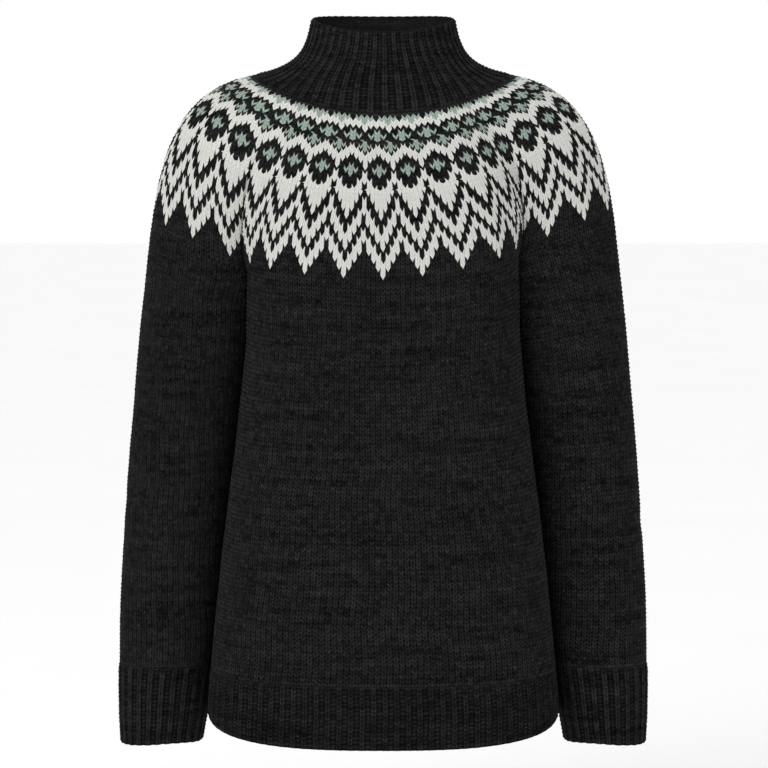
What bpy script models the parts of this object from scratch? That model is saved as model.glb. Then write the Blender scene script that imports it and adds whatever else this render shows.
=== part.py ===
"""High neck sweater, knitted in the round in heavy wool, in the hollow form of a body that wears it.

The body is one tube and each sleeve is one tube. They meet at the underarms and run on as one
round yoke, which narrows to a high ribbed collar. Ribs finish the hem and both cuffs.

+X is the wearer's left, -Y the front and +Z up. The origin is the middle of the collar's base,
where the shoulders carry the sweater. Sizes are in millimetres until a mesh is made.
"""
import math
from collections import namedtuple

import bpy
import numpy as np

MM = 0.001
WALL = 3.0
SEAM_GAP = 0.3

# The yoke has 32 repeats: 9 over the front, 7 over each sleeve and 9 over the back.
FRONT_REPEATS = 9
SLEEVE_REPEATS = 7
STEPS_PER_REPEAT = 3
UNDERARM_STEPS = 5
UNDERARM_LENGTH = 60.0

# Heights of the round where body and sleeves join the yoke.
JOIN_FRONT = -201.0
JOIN_BACK = -172.0
UNDERARM_HEIGHT = {"left": -170.0, "right": -186.0}
SLEEVE_JOIN_TOP = {"left": -135.0, "right": -146.0}

# The round rises late from the middle of the front and back, is level beside the underarms' ends,
# and rises sooner over the sleeves.
BODY_RISE_POWER = 1.5
SLEEVE_RISE_POWER = 0.8

HEM_SEAM = -582.0
HEM_END = -646.0
HEM_SIDE_LIFT = 18.0
CUFF_SEAM = -581.0
CUFF_END = -659.0
CUFF_OUTER_DROP = 3.5

# Knit one, purl one: each rib is one raised column of stitches, given here as raised shares.
COLLAR_RIBS = 48
HEM_RIBS = 84
CUFF_RIBS = 24
RIB_HEIGHT = 1.6
WIDE_RIB = (1.0, 1.0, 0.0, 0.0)
HEM_RIB = (1.0, 1.0, 0.0)

# Levels as shares of a piece's height from its top edge, closer together where the form turns.
BODY_LEVELS = (0.0, 0.07, 0.18, 0.34, 0.52, 0.70, 0.86, 1.0)
SLEEVE_LEVELS = (0.0, 0.06, 0.14, 0.26, 0.40, 0.50, 0.58, 0.70, 0.85, 1.0)
YOKE_LEVELS = (0.0, 0.09, 0.19, 0.30, 0.42, 0.54, 0.66, 0.78, 0.90, 1.0)

# Columns: share of the height from the top edge, share of the rib's full height there.
RibLevel = namedtuple("RibLevel", "share raised")
COLLAR_LEVELS = (
    RibLevel(0.0, 0.8),
    RibLevel(0.05, 1.0),
    RibLevel(0.34, 1.0),
    RibLevel(0.56, 1.0),
    RibLevel(0.76, 1.0),
    RibLevel(0.94, 1.0),
    RibLevel(1.0, 0.0),
)
HEM_LEVELS = (RibLevel(0.0, 0.0), RibLevel(0.06, 1.0), RibLevel(1.0, 1.0))
CUFF_LEVELS = (RibLevel(0.0, 0.0), RibLevel(0.05, 1.0), RibLevel(0.60, 1.0), RibLevel(1.0, 1.0))

# Worn form of the body tube. The back lies closer in at the waist, so the centre moves forward.
# Its rings are flatter in front and behind than an ellipse, which would have a power of 2.
BODY_POWER = 2.9
BodyRing = namedtuple("BodyRing", "height half_width half_depth centre_y")
BODY_FORM = (
    BodyRing(-140.0, 136.0, 105.0, 0.0),
    BodyRing(-200.0, 136.0, 105.0, 0.0),
    BodyRing(-255.0, 136.5, 105.5, -1.0),
    BodyRing(-310.0, 141.5, 106.0, -3.0),
    BodyRing(-370.0, 148.5, 106.0, -4.0),
    BodyRing(-465.0, 160.5, 105.0, -2.0),
    BodyRing(-520.0, 166.5, 104.0, 0.0),
    BodyRing(-582.0, 171.5, 103.0, 1.0),
    BodyRing(-646.0, 174.5, 104.0, 1.0),
)

# Worn form of a sleeve. Outer and inner are distances from the middle of the sweater.
SleeveRing = namedtuple("SleeveRing", "height outer inner half_depth centre_y gap_to_body")
SLEEVE_FORM = (
    SleeveRing(-130.0, 229.5, 115.5, 50.0, 0.0, 0.3),
    SleeveRing(-182.0, 235.5, 115.5, 50.0, 0.0, 0.3),
    SleeveRing(-245.0, 243.0, 128.0, 52.0, 8.0, 2.4),
    SleeveRing(-310.0, 249.5, 140.0, 53.0, 15.0, 2.4),
    SleeveRing(-370.0, 255.0, 149.0, 52.0, 18.0, 2.4),
    SleeveRing(-465.0, 262.0, 163.5, 48.5, 18.0, 2.6),
    SleeveRing(-520.0, 265.0, 170.5, 46.0, 16.0, 3.0),
    SleeveRing(-581.0, 266.0, 177.0, 44.0, 14.0, 3.0),
    SleeveRing(-627.0, 266.0, 181.5, 41.0, 13.0, 3.0),
    SleeveRing(-663.0, 264.5, 186.5, 37.5, 12.0, 3.0),
)

# The collar's two edges. Front, side and back are the heights of the edge there.
CollarEdge = namedtuple("CollarEdge", "half_width half_depth centre_y front side back")
COLLAR_RIM = CollarEdge(70.5, 61.0, 11.0, 48.0, 63.5, 69.0)
COLLAR_BASE = CollarEdge(128.0, 90.0, 5.0, -31.0, 8.0, -5.0)

# How steeply the cloth runs down, in degrees below level, at the collar's base and rim.
SLOPE_FRONT = 68.0
SLOPE_SIDE = 8.0
SLOPE_BACK = 58.0
SLOPE_RIM = 80.0

# How far a curve keeps its end directions, as a share of the distance that it spans.
Fullness = namedtuple("Fullness", "at_top at_end")
COLLAR_FULLNESS = Fullness(1.2, 1.65)
YOKE_FRONT_FULLNESS = Fullness(1.05, 1.05)
YOKE_SIDE_FULLNESS = Fullness(1.4, 0.9)

# The valley that runs up the yoke from each underarm, and how far sleeves splay at the join.
VALLEY_REPEATS = 1.1
VALLEY_LEAN = 0.42
SLEEVE_SPLAY = 0.15

# Soft folds, as troughs on a tube. Rise is in millimetres for each degree round the tube.
Fold = namedtuple("Fold", "node angle height rise half_width half_turn depth")
FOLDS = (
    Fold("body", 56.0, -262.0, 0.9, 10.0, 24.0, 1.8),
    Fold("body", -54.0, -280.0, -0.8, 11.0, 28.0, 2.0),
    Fold("body", 126.0, -268.0, -0.9, 11.0, 26.0, 2.2),
    Fold("body", -129.0, -290.0, 0.8, 12.0, 30.0, 2.2),
    Fold("body", 168.0, -430.0, 0.25, 15.0, 34.0, 2.0),
    Fold("sleeve_left", 38.0, -420.0, 0.5, 10.0, 42.0, 2.2),
    Fold("sleeve_left", 150.0, -372.0, -0.4, 10.0, 44.0, 2.4),
    Fold("sleeve_left", -60.0, -505.0, -0.4, 9.0, 38.0, 2.0),
    Fold("sleeve_right", 44.0, -400.0, 0.4, 11.0, 44.0, 2.0),
    Fold("sleeve_right", 146.0, -440.0, -0.5, 10.0, 42.0, 2.4),
    Fold("sleeve_right", -56.0, -515.0, -0.3, 9.0, 36.0, 1.8),
)

# Heavy wool: charcoal throughout, and a mean of charcoal, off-white and pale green in the yoke.
CHARCOAL = (0.013, 0.013, 0.0135, 1.0)
YOKE_MEAN = (0.320, 0.325, 0.310, 1.0)
WOOL_ROUGHNESS = 0.95

UP = np.array([0.0, 0.0, 1.0])
TO_RIGHT_SIDE = np.array([-1.0, 1.0, 1.0])


def unit(vector):
    return vector / np.linalg.norm(vector)


def ease(share):
    """0 to 1, with a level start and end."""
    return 0.5 - 0.5 * math.cos(math.pi * share)


def curve(start, start_way, end, end_way, t):
    """A point on the cubic that leaves the start and reaches the end in the given directions."""
    return (
        start * (2 * t ** 3 - 3 * t ** 2 + 1)
        + start_way * (t ** 3 - 2 * t ** 2 + t)
        + end * (3 * t ** 2 - 2 * t ** 3)
        + end_way * (t ** 3 - t ** 2)
    )


def at_height(rows, column, height):
    """A column of a form table at any height, on a smooth curve through its rows."""
    heights = [row.height for row in rows]
    values = [getattr(row, column) for row in rows]
    last = len(rows) - 1
    if height >= heights[0]:
        return values[0]
    if height <= heights[last]:
        return values[last]

    def slope(i):
        before = max(i - 1, 0)
        after = min(i + 1, last)
        return (values[after] - values[before]) / (heights[after] - heights[before])

    i = next(k for k in range(last) if heights[k + 1] <= height)
    span = heights[i + 1] - heights[i]
    share = (height - heights[i]) / span
    return curve(values[i], slope(i) * span, values[i + 1], slope(i + 1) * span, share)


def split_evenly(path, steps, start, end):
    """Parameters that split a closed or open path into stretches of equal length."""
    fine = np.linspace(start, end, 1441)
    points = np.array([path(value) for value in fine])
    lengths = np.concatenate([[0.0], np.cumsum(np.linalg.norm(np.diff(points, axis=0), axis=1))])
    return np.interp(np.linspace(0.0, lengths[-1], steps + 1), lengths, fine)


def inward_level(ring):
    """Level directions into a closed ring that runs anticlockwise seen from above."""
    normals = []
    for before, after in zip(ring - np.roll(ring, 1, axis=0), np.roll(ring, -1, axis=0) - ring):
        tangent = unit(unit(before[:2]) + unit(after[:2]))
        normals.append(np.array([-tangent[1], tangent[0], 0.0]))
    return np.array(normals)


def inward_surface(grid):
    """Directions into a grid of rings, from its neighbours round and down."""
    around = np.roll(grid, -1, axis=1) - np.roll(grid, 1, axis=1)
    down = np.gradient(grid, axis=0)
    normals = np.cross(around, down)
    return normals / np.linalg.norm(normals, axis=2, keepdims=True)


def body_point(angle, height):
    """A point on the body's outer face. The angle is 0 at the front and grows towards +X."""
    sine = math.sin(angle)
    cosine = math.cos(angle)
    reach = (abs(sine) ** BODY_POWER + abs(cosine) ** BODY_POWER) ** (-1.0 / BODY_POWER)
    x = at_height(BODY_FORM, "half_width", height) * reach * sine
    y = at_height(BODY_FORM, "centre_y", height) - at_height(BODY_FORM, "half_depth", height) * reach * cosine
    return np.array([x, y, height])


def side_share(depth_share):
    """How far out the body's side is at a share of its half depth, as a share of its half width."""
    return (1.0 - abs(depth_share) ** BODY_POWER) ** (1.0 / BODY_POWER)


def body_side_x(y, height):
    """How far out the body's left side is at a place between front and back."""
    offset = (y - at_height(BODY_FORM, "centre_y", height)) / at_height(BODY_FORM, "half_depth", height)
    return at_height(BODY_FORM, "half_width", height) * side_share(offset)


def sleeve_point(angle, height):
    """A point on the left sleeve's outer face. The angle is 0 outside and grows to the front."""
    outer = at_height(SLEEVE_FORM, "outer", height)
    inner = at_height(SLEEVE_FORM, "inner", height)
    half_depth = at_height(SLEEVE_FORM, "half_depth", height)
    y = at_height(SLEEVE_FORM, "centre_y", height) - half_depth * math.sin(angle)
    x = (outer + inner) / 2 + (outer - inner) / 2 * math.cos(angle)
    beside_body = body_side_x(y, height) + at_height(SLEEVE_FORM, "gap_to_body", height)
    return np.array([max(x, beside_body), y, height])


def fold_depth(node, angle, height):
    """How far the cloth is pressed in by its folds at a place on a tube."""
    depth = 0.0
    for fold in FOLDS:
        if fold.node == node:
            turn = math.degrees(math.remainder(angle - math.radians(fold.angle), math.tau))
            across = height - fold.height - fold.rise * turn
            spread = (across / fold.half_width) ** 2 + (turn / fold.half_turn) ** 2
            depth += fold.depth * math.exp(-spread)
    return depth


def body_columns():
    """Angle, top height and place of each column of the body, from front right round to the left."""
    top = BODY_FORM[1]
    corner = UNDERARM_LENGTH / 2 / top.half_depth
    underarm = math.atan2(side_share(corner), corner)
    steps = FRONT_REPEATS * STEPS_PER_REPEAT
    arcs = (
        ("front", -underarm, underarm, steps),
        ("left", underarm, math.pi - underarm, UNDERARM_STEPS),
        ("back", math.pi - underarm, math.pi + underarm, steps),
        ("right", math.pi + underarm, math.tau - underarm, UNDERARM_STEPS),
    )
    columns = []
    for place, start, end, count in arcs:
        angles = split_evenly(lambda angle: body_point(angle, top.height), count, start, end)
        for i in range(count):
            if place in UNDERARM_HEIGHT:
                height = UNDERARM_HEIGHT[place]
            else:
                starts_right = place == "front"
                side = "right" if (2 * i < count) == starts_right else "left"
                middle = JOIN_FRONT if place == "front" else JOIN_BACK
                outwards = min(1.0, abs(2 * i - count) / (count - 2))
                risen = outwards ** BODY_RISE_POWER
                height = middle + (UNDERARM_HEIGHT[side] - middle) * risen
            columns.append((angles[i], height, place))
    return columns


def sleeve_columns(side):
    """Angle and top height of each column of a sleeve, over the outside and back underneath."""
    top = SLEEVE_FORM[1]
    corner = math.pi - math.asin(UNDERARM_LENGTH / 2 / top.half_depth)
    steps = SLEEVE_REPEATS * STEPS_PER_REPEAT
    underarm = UNDERARM_HEIGHT[side]
    angles = split_evenly(lambda angle: sleeve_point(angle, top.height), steps, corner, -corner)
    columns = []
    for i in range(steps):
        share = ease((1.0 - abs(2 * i / steps - 1)) ** SLEEVE_RISE_POWER)
        columns.append((angles[i], underarm + (SLEEVE_JOIN_TOP[side] - underarm) * share))
    for i in range(UNDERARM_STEPS):
        y = UNDERARM_LENGTH * (0.5 - i / UNDERARM_STEPS)
        columns.append((-math.pi + math.asin(y / top.half_depth), underarm))
    return columns


def tube_grid(columns, point_at, end, levels, node):
    """Outer points and inward directions of a tube whose columns start at heights of their own."""
    outer = []
    inward = []
    for share in levels:
        ring = []
        for angle, top in columns:
            start = top - SEAM_GAP / 2
            ring.append(point_at(angle, start + (end + SEAM_GAP / 2 - start) * share))
        ring = np.array(ring)
        normals = inward_level(ring)
        fading = math.sin(math.pi * share)
        depths = [fold_depth(node, column[0], point[2]) * fading for column, point in zip(columns, ring)]
        outer.append(ring + normals * np.array(depths)[:, None])
        inward.append(normals)
    return np.array(outer), np.array(inward)


def raised(profile, count):
    """The rib's raised share at each of a ring's columns."""
    return np.array([profile[i % len(profile)] for i in range(count)])


def band_grid(point_at, top, bottom_at, ribs, profile, levels):
    """Outer points, inward directions and rib heights of a straight ribbed band."""
    count = ribs * len(profile)
    angles = split_evenly(lambda angle: point_at(angle, top), count, 0.0, math.tau)[:-1]
    outer = []
    inward = []
    for level in levels:
        start = top - SEAM_GAP / 2
        ring = np.array([point_at(a, start + (bottom_at(a) - start) * level.share) for a in angles])
        outer.append(ring)
        inward.append(inward_level(ring))
    ribs_out = np.outer([level.raised for level in levels], raised(profile, count)) * RIB_HEIGHT
    return np.array(outer), np.array(inward), ribs_out


def collar_point(edge, angle):
    """A point of one of the collar's edges. The angle is 0 at the front and grows towards +X."""
    middle = (edge.front + 2 * edge.side + edge.back) / 4
    tilt = (edge.front - edge.back) / 2
    dip = (edge.front + edge.back - 2 * edge.side) / 4
    return np.array([
        edge.half_width * math.sin(angle),
        edge.centre_y - edge.half_depth * math.cos(angle),
        middle + tilt * math.cos(angle) + dip * math.cos(2 * angle),
    ])


def collar_angles(edge, count):
    """Angles of evenly spaced columns round one of the collar's edges, from the middle front."""
    return split_evenly(lambda angle: collar_point(edge, angle), count, 0.0, math.tau)[:-1]


def downward(edge, angle, slope):
    """The direction of cloth that runs down and outwards from an edge at a slope in degrees."""
    outward = unit(np.array([edge.half_depth * math.sin(angle), -edge.half_width * math.cos(angle), 0.0]))
    steep = math.radians(slope)
    return outward * math.cos(steep) - UP * math.sin(steep)


def base_way(angle):
    """The direction in which cloth runs down from the collar's base."""
    front_share = 0.5 + 0.5 * math.cos(angle)
    lengthwise = SLOPE_FRONT * front_share + SLOPE_BACK * (1.0 - front_share)
    slope = lengthwise + (SLOPE_SIDE - lengthwise) * math.sin(angle) ** 2
    return downward(COLLAR_BASE, angle, slope)


def base_inward(angle):
    """The direction straight into the wall at the collar's base."""
    step = 0.01
    tangent = collar_point(COLLAR_BASE, angle + step) - collar_point(COLLAR_BASE, angle - step)
    return unit(np.cross(tangent, base_way(angle)))


def collar_grid():
    """Outer points, inward directions and rib heights of the collar."""
    count = COLLAR_RIBS * len(WIDE_RIB)
    rim_angles = collar_angles(COLLAR_RIM, count)
    base_angles = collar_angles(COLLAR_BASE, count)
    outer = []
    for level in COLLAR_LEVELS:
        ring = []
        for rim_angle, base_angle in zip(rim_angles, base_angles):
            start = collar_point(COLLAR_RIM, rim_angle)
            end = collar_point(COLLAR_BASE, base_angle) - base_way(base_angle) * SEAM_GAP / 2
            span = np.linalg.norm(end - start)
            start_way = downward(COLLAR_RIM, rim_angle, SLOPE_RIM) * span * COLLAR_FULLNESS.at_top
            end_way = base_way(base_angle) * span * COLLAR_FULLNESS.at_end
            ring.append(curve(start, start_way, end, end_way, level.share))
        outer.append(ring)
    outer = np.array(outer)
    inward = inward_surface(outer)
    inward[-1] = [base_inward(angle) for angle in base_angles]
    ribs_out = np.outer([level.raised for level in COLLAR_LEVELS], raised(WIDE_RIB, count)) * RIB_HEIGHT
    return outer, inward, ribs_out


def join_ring():
    """Points and inward directions of the yoke's lower edge, from front right round to the left."""
    body = body_columns()
    body_ring = np.array([body_point(angle, height) for angle, height, _ in body])
    body_inward = inward_level(body_ring)
    points = []
    inward = []
    for place in ("front", "left", "back", "right"):
        own = [i for i, column in enumerate(body) if column[2] == place]
        if place not in UNDERARM_HEIGHT:
            points.extend(body_ring[own])
            inward.extend(body_inward[own])
            continue
        ring = np.array([sleeve_point(angle, height) for angle, height in sleeve_columns(place)])
        normals = inward_level(ring)
        steps = SLEEVE_REPEATS * STEPS_PER_REPEAT
        over = list(range(1, steps))
        if place == "right":
            over.reverse()
            ring = ring * TO_RIGHT_SIDE
            normals = normals * TO_RIGHT_SIDE
        points.append(body_ring[own[0]])
        inward.append(body_inward[own[0]])
        points.extend(ring[over])
        inward.extend(normals[over])
    points = np.array(points)
    inward = np.array(inward)
    for corner in crease_columns():
        inward[corner] = np.array([0.0, -np.sign(points[corner][1]), 0.0])
    return points, inward


def crease_columns():
    """The four columns of the yoke that end at a corner of an underarm."""
    front = FRONT_REPEATS * STEPS_PER_REPEAT
    sleeve = SLEEVE_REPEATS * STEPS_PER_REPEAT
    return (0, front, front + sleeve, 2 * front + sleeve)


def yoke_grid():
    """Outer points and inward directions of the yoke, from the collar's base down to the join."""
    join, join_inward = join_ring()
    count = len(join)
    half_steps = collar_angles(COLLAR_BASE, 2 * count)
    first = -FRONT_REPEATS * STEPS_PER_REPEAT
    base_angles = [half_steps[(first + 2 * i) % (2 * count)] for i in range(count)]
    outer = np.zeros((len(YOKE_LEVELS), count, 3))
    for i in range(count):
        angle = base_angles[i]
        start = collar_point(COLLAR_BASE, angle) + base_way(angle) * SEAM_GAP / 2
        end = join[i] + UP * SEAM_GAP / 2
        splay = np.sign(end[0]) * SLEEVE_SPLAY * math.sin(angle) ** 4
        end_way = np.array([splay, 0.0, -1.0])
        for corner in crease_columns():
            steps_away = (i - corner + count // 2) % count - count // 2
            share = math.exp(-(steps_away / STEPS_PER_REPEAT / VALLEY_REPEATS) ** 2)
            to_middle = np.array([-np.sign(join[corner][0]), -np.sign(join[corner][1]), 0.0])
            end_way = end_way + unit(to_middle) * VALLEY_LEAN * share
        span = np.linalg.norm(end - start)
        sideways = math.sin(angle) ** 2
        reach = [
            span * (front + (side - front) * sideways)
            for front, side in zip(YOKE_FRONT_FULLNESS, YOKE_SIDE_FULLNESS)
        ]
        for k, share in enumerate(YOKE_LEVELS):
            outer[k, i] = curve(start, base_way(angle) * reach[0], end, unit(end_way) * reach[1], share)
    inward = inward_surface(outer)
    inward[0] = [base_inward(angle) for angle in base_angles]
    inward[-1] = join_inward
    return outer, inward


def make_wall(name, outer, inner, colour, mirror=False):
    """One closed wall between two grids of rings. The inner grid may have fewer columns."""
    levels, columns = outer.shape[:2]
    inner_columns = inner.shape[1]
    ratio = columns // inner_columns
    first_inner = levels * columns
    vertices = np.concatenate([outer.reshape(-1, 3), inner.reshape(-1, 3)])

    def out(level, column):
        return level * columns + column % columns

    def within(level, column):
        return first_inner + level * inner_columns + column % inner_columns

    faces = []
    for k in range(levels - 1):
        for i in range(columns):
            faces.append((out(k, i), out(k + 1, i), out(k + 1, i + 1), out(k, i + 1)))
        for i in range(inner_columns):
            faces.append((within(k, i), within(k, i + 1), within(k + 1, i + 1), within(k + 1, i)))
    for i in range(inner_columns):
        for k in (0, levels - 1):
            edge = [out(k, i * ratio + step) for step in range(ratio + 1)]
            edge += [within(k, i + 1), within(k, i)]
            faces.append(tuple(edge) if k == 0 else tuple(reversed(edge)))
    if mirror:
        vertices = vertices * TO_RIGHT_SIDE
        faces = [tuple(reversed(face)) for face in faces]

    mesh = bpy.data.meshes.new(name)
    mesh.from_pydata((vertices * MM).tolist(), [], faces)
    mesh.shade_smooth()
    material = bpy.data.materials.new(name + "_wool")
    material.use_nodes = True
    shader = material.node_tree.nodes["Principled BSDF"]
    shader.inputs["Base Color"].default_value = colour
    shader.inputs["Roughness"].default_value = WOOL_ROUGHNESS
    shader.inputs["Metallic"].default_value = 0.0
    mesh.materials.append(material)
    piece = bpy.data.objects.new(name, mesh)
    bpy.context.scene.collection.objects.link(piece)
    return piece


def make_ribbed(name, grid, profile, mirror=False):
    """A ribbed wall: ribs stand out from the outer face over a plain inside."""
    outer, inward, ribs_out = grid
    inner = (outer + inward * WALL)[:, :: len(profile)]
    make_wall(name, outer - inward * ribs_out[:, :, None], inner, CHARCOAL, mirror)


def make_body():
    columns = [(angle, height) for angle, height, _ in body_columns()]
    outer, inward = tube_grid(columns, body_point, HEM_SEAM, BODY_LEVELS, "body")
    make_wall("body", outer, outer + inward * WALL, CHARCOAL)


def make_hem():
    def end_at(angle):
        return HEM_END + HEM_SIDE_LIFT * math.sin(angle) ** 4

    make_ribbed("hem_rib", band_grid(body_point, HEM_SEAM, end_at, HEM_RIBS, HEM_RIB, HEM_LEVELS), HEM_RIB)


def anticlockwise_sleeve(angle, height):
    """A sleeve point whose angle is 0 in front and grows outwards, as the body's does."""
    return sleeve_point(math.pi / 2 - angle, height)


def make_sleeve(side):
    node = "sleeve_" + side
    outer, inward = tube_grid(sleeve_columns(side), sleeve_point, CUFF_SEAM, SLEEVE_LEVELS, node)
    make_wall(node, outer, outer + inward * WALL, CHARCOAL, side == "right")

    def end_at(angle):
        return CUFF_END - CUFF_OUTER_DROP * math.sin(angle)

    cuff = band_grid(anticlockwise_sleeve, CUFF_SEAM, end_at, CUFF_RIBS, WIDE_RIB, CUFF_LEVELS)
    make_ribbed("cuff_" + side, cuff, WIDE_RIB, side == "right")


def make_yoke():
    outer, inward = yoke_grid()
    make_wall("yoke", outer, outer + inward * WALL, YOKE_MEAN)


def main():
    for item in list(bpy.data.objects):
        bpy.data.objects.remove(item, do_unlink=True)
    make_ribbed("collar", collar_grid(), WIDE_RIB)
    make_yoke()
    make_body()
    make_hem()
    make_sleeve("left")
    make_sleeve("right")


main()
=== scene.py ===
"""High neck sweater, knitted in the round in heavy wool, stitch by stitch on its worn form.

Every piece is a thin closed shell. Its outside carries the real stitches, one V for each, its
inside is plainer and the free edges are rounded. Sizes are in millimetres until a mesh is made.
+X is the wearer's left, -Y the front, +Z up, and the origin the middle of the collar's base.
"""
import math
from collections import namedtuple

import bpy
import numpy as np
from bpy.props import FloatProperty, FloatVectorProperty, PointerProperty
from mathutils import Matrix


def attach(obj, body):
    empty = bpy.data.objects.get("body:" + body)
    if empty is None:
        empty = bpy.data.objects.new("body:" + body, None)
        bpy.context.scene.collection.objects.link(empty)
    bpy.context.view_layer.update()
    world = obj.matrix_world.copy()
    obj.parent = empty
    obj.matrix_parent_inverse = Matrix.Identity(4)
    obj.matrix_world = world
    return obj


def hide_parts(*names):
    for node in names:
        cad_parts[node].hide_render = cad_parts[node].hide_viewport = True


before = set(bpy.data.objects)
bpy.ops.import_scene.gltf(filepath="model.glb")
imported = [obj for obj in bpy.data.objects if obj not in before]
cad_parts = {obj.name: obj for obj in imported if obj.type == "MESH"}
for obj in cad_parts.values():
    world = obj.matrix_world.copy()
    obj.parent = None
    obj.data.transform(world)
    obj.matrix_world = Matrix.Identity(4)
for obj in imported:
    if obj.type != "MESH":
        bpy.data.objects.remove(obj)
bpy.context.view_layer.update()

bl_info = {
    "name": "High neck sweater",
    "version": (1, 0, 0),
    "blender": (4, 5, 0),
    "location": "View3D > Sidebar > Sweater",
    "description": "Knits a high neck sweater with a patterned round yoke, on its worn form",
    "category": "Mesh",
}

MM = 0.001

# Heights of the round where body and sleeves join the yoke, how it rises to the underarms and
# over the sleeves, and the length of the graft under an arm.
JOIN_FRONT = -201.0
JOIN_BACK = -172.0
UNDERARM_HEIGHT = {"left": -170.0, "right": -186.0}
SLEEVE_JOIN_TOP = {"left": -135.0, "right": -146.0}
BODY_RISE_POWER = 1.5
BODY_RISE_SHARE = 1.08
SLEEVE_RISE_POWER = 0.8
UNDERARM_LENGTH = 60.0

# Heights of the hem rib and the cuffs. The hem is lifted at the sides and sags between them,
# and a cuff's end drops on its outside and its inside.
HEM_SEAM = -582.0
HEM_END = -646.0
HEM_SIDE_LIFT = 18.0
HEM_SEAM_SAG = 6.0
HEM_END_SAG = 4.5
CUFF_SEAM = -581.0
CUFF_END = -659.0
CUFF_OUTER_DROP = 3.5
CUFF_INNER_DROP = 5.0

# Room that the rounded lip takes past the last row of a free edge, and its lines in rows.
LIP_ROOM = 1.2
LIP_ROWS = np.array([0.0, 0.3, 0.6, 0.9])
LIP_FULLNESS = 0.9
LIP_TURNS = np.radians([45.0, 90.0, 135.0])

# How finely the form is measured: places on a path and on a swept curve, steps down the curve
# and round each ring, and the step in rows and columns that finds a direction.
PATH_PLACES = 1441
SWEEP_PLACES = 161
SWEEP_STEPS = 128
COLLAR_STEPS = 768
YOKE_STEPS = 1024
HEM_STEPS = 1008
CUFF_STEPS = 960
SURFACE_STEP = 0.4

# Worn form of the body tube. Its rings are flatter in front and behind than an ellipse.
BODY_POWER = 2.9
BodyRing = namedtuple("BodyRing", "height half_width half_depth centre_y")
BODY_FORM = (
    BodyRing(-140.0, 136.0, 105.0, 0.0),
    BodyRing(-200.0, 136.0, 105.0, 0.0),
    BodyRing(-255.0, 136.5, 105.5, -1.0),
    BodyRing(-310.0, 141.5, 106.0, -3.0),
    BodyRing(-370.0, 148.5, 106.0, -4.0),
    BodyRing(-465.0, 160.5, 105.0, -2.0),
    BodyRing(-520.0, 166.5, 104.0, 0.0),
    BodyRing(-582.0, 172.5, 103.0, 1.0),
    BodyRing(-620.0, 175.3, 103.5, 1.0),
    BodyRing(-652.0, 176.0, 104.0, 1.0),
)

# Worn form of a sleeve. Outer and inner are distances from the middle of the sweater.
SleeveRing = namedtuple("SleeveRing", "height outer inner half_depth centre_y gap_to_body")
SLEEVE_FORM = (
    SleeveRing(-130.0, 229.5, 115.5, 50.0, 0.0, 0.3),
    SleeveRing(-182.0, 235.5, 115.5, 50.0, 0.0, 0.3),
    SleeveRing(-245.0, 243.0, 128.0, 52.0, 8.0, 1.2),
    SleeveRing(-310.0, 249.5, 138.0, 53.0, 15.0, 1.3),
    SleeveRing(-370.0, 255.0, 145.0, 52.0, 18.0, 1.3),
    SleeveRing(-465.0, 262.0, 157.0, 48.5, 18.0, 1.3),
    SleeveRing(-520.0, 265.0, 163.5, 46.0, 16.0, 1.3),
    SleeveRing(-581.0, 266.0, 170.0, 44.0, 14.0, 1.4),
    SleeveRing(-627.0, 266.0, 178.0, 41.0, 13.0, 1.4),
    SleeveRing(-663.0, 264.5, 184.5, 37.5, 12.0, 1.4),
)

# The collar's two edges, with the heights of each edge in front, at the sides and behind.
CollarEdge = namedtuple("CollarEdge", "half_width half_depth centre_y front side back")
COLLAR_RIM = CollarEdge(70.5, 61.0, 11.0, 48.0, 63.5, 69.0)
COLLAR_BASE = CollarEdge(128.0, 90.0, 5.0, -31.0, 8.0, -5.0)

# How steeply the cloth runs down, in degrees below level, at the collar's base and rim.
SLOPE_FRONT = 68.0
SLOPE_SIDE = 8.0
SLOPE_BACK = 58.0
SLOPE_RIM = 80.0

# How far a curve keeps its end directions, as a share of the distance that it spans.
Fullness = namedtuple("Fullness", "at_top at_end")
COLLAR_FULLNESS = Fullness(1.2, 1.65)
YOKE_FRONT_FULLNESS = Fullness(1.05, 1.05)
YOKE_SIDE_FULLNESS = Fullness(1.4, 0.9)

# The valley that runs up the yoke from each underarm, and how far sleeves splay at the join.
VALLEY_REPEATS = 1.1
VALLEY_LEAN = 0.42
SLEEVE_SPLAY = 0.15

# Soft folds, as troughs on a tube. Rise is in millimetres for each degree round the tube.
Fold = namedtuple("Fold", "tube angle height rise half_width half_turn depth")
FOLDS = (
    Fold("body", 56.0, -262.0, 0.9, 10.0, 24.0, 1.8),
    Fold("body", -54.0, -280.0, -0.8, 11.0, 28.0, 2.0),
    Fold("body", 126.0, -268.0, -0.9, 11.0, 26.0, 2.2),
    Fold("body", -129.0, -290.0, 0.8, 12.0, 30.0, 2.2),
    Fold("body", 168.0, -430.0, 0.25, 15.0, 34.0, 2.0),
    Fold("body", 34.0, -352.0, 0.5, 8.0, 15.0, 0.7),
    Fold("body", -38.0, -372.0, -0.6, 9.0, 16.0, 0.8),
    Fold("body", -166.0, -330.0, -0.2, 9.0, 22.0, 1.0),
    Fold("left", 38.0, -420.0, 0.5, 10.0, 42.0, 2.2),
    Fold("left", 150.0, -372.0, -0.4, 10.0, 44.0, 2.4),
    Fold("left", -60.0, -505.0, -0.4, 9.0, 38.0, 2.0),
    Fold("left", 100.0, -480.0, 0.3, 8.0, 30.0, 0.9),
    Fold("right", 44.0, -400.0, 0.4, 11.0, 44.0, 2.0),
    Fold("right", 146.0, -440.0, -0.5, 10.0, 42.0, 2.4),
    Fold("right", -56.0, -515.0, -0.3, 9.0, 36.0, 1.8),
    Fold("right", 96.0, -340.0, 0.3, 8.0, 30.0, 0.9),
)

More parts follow.
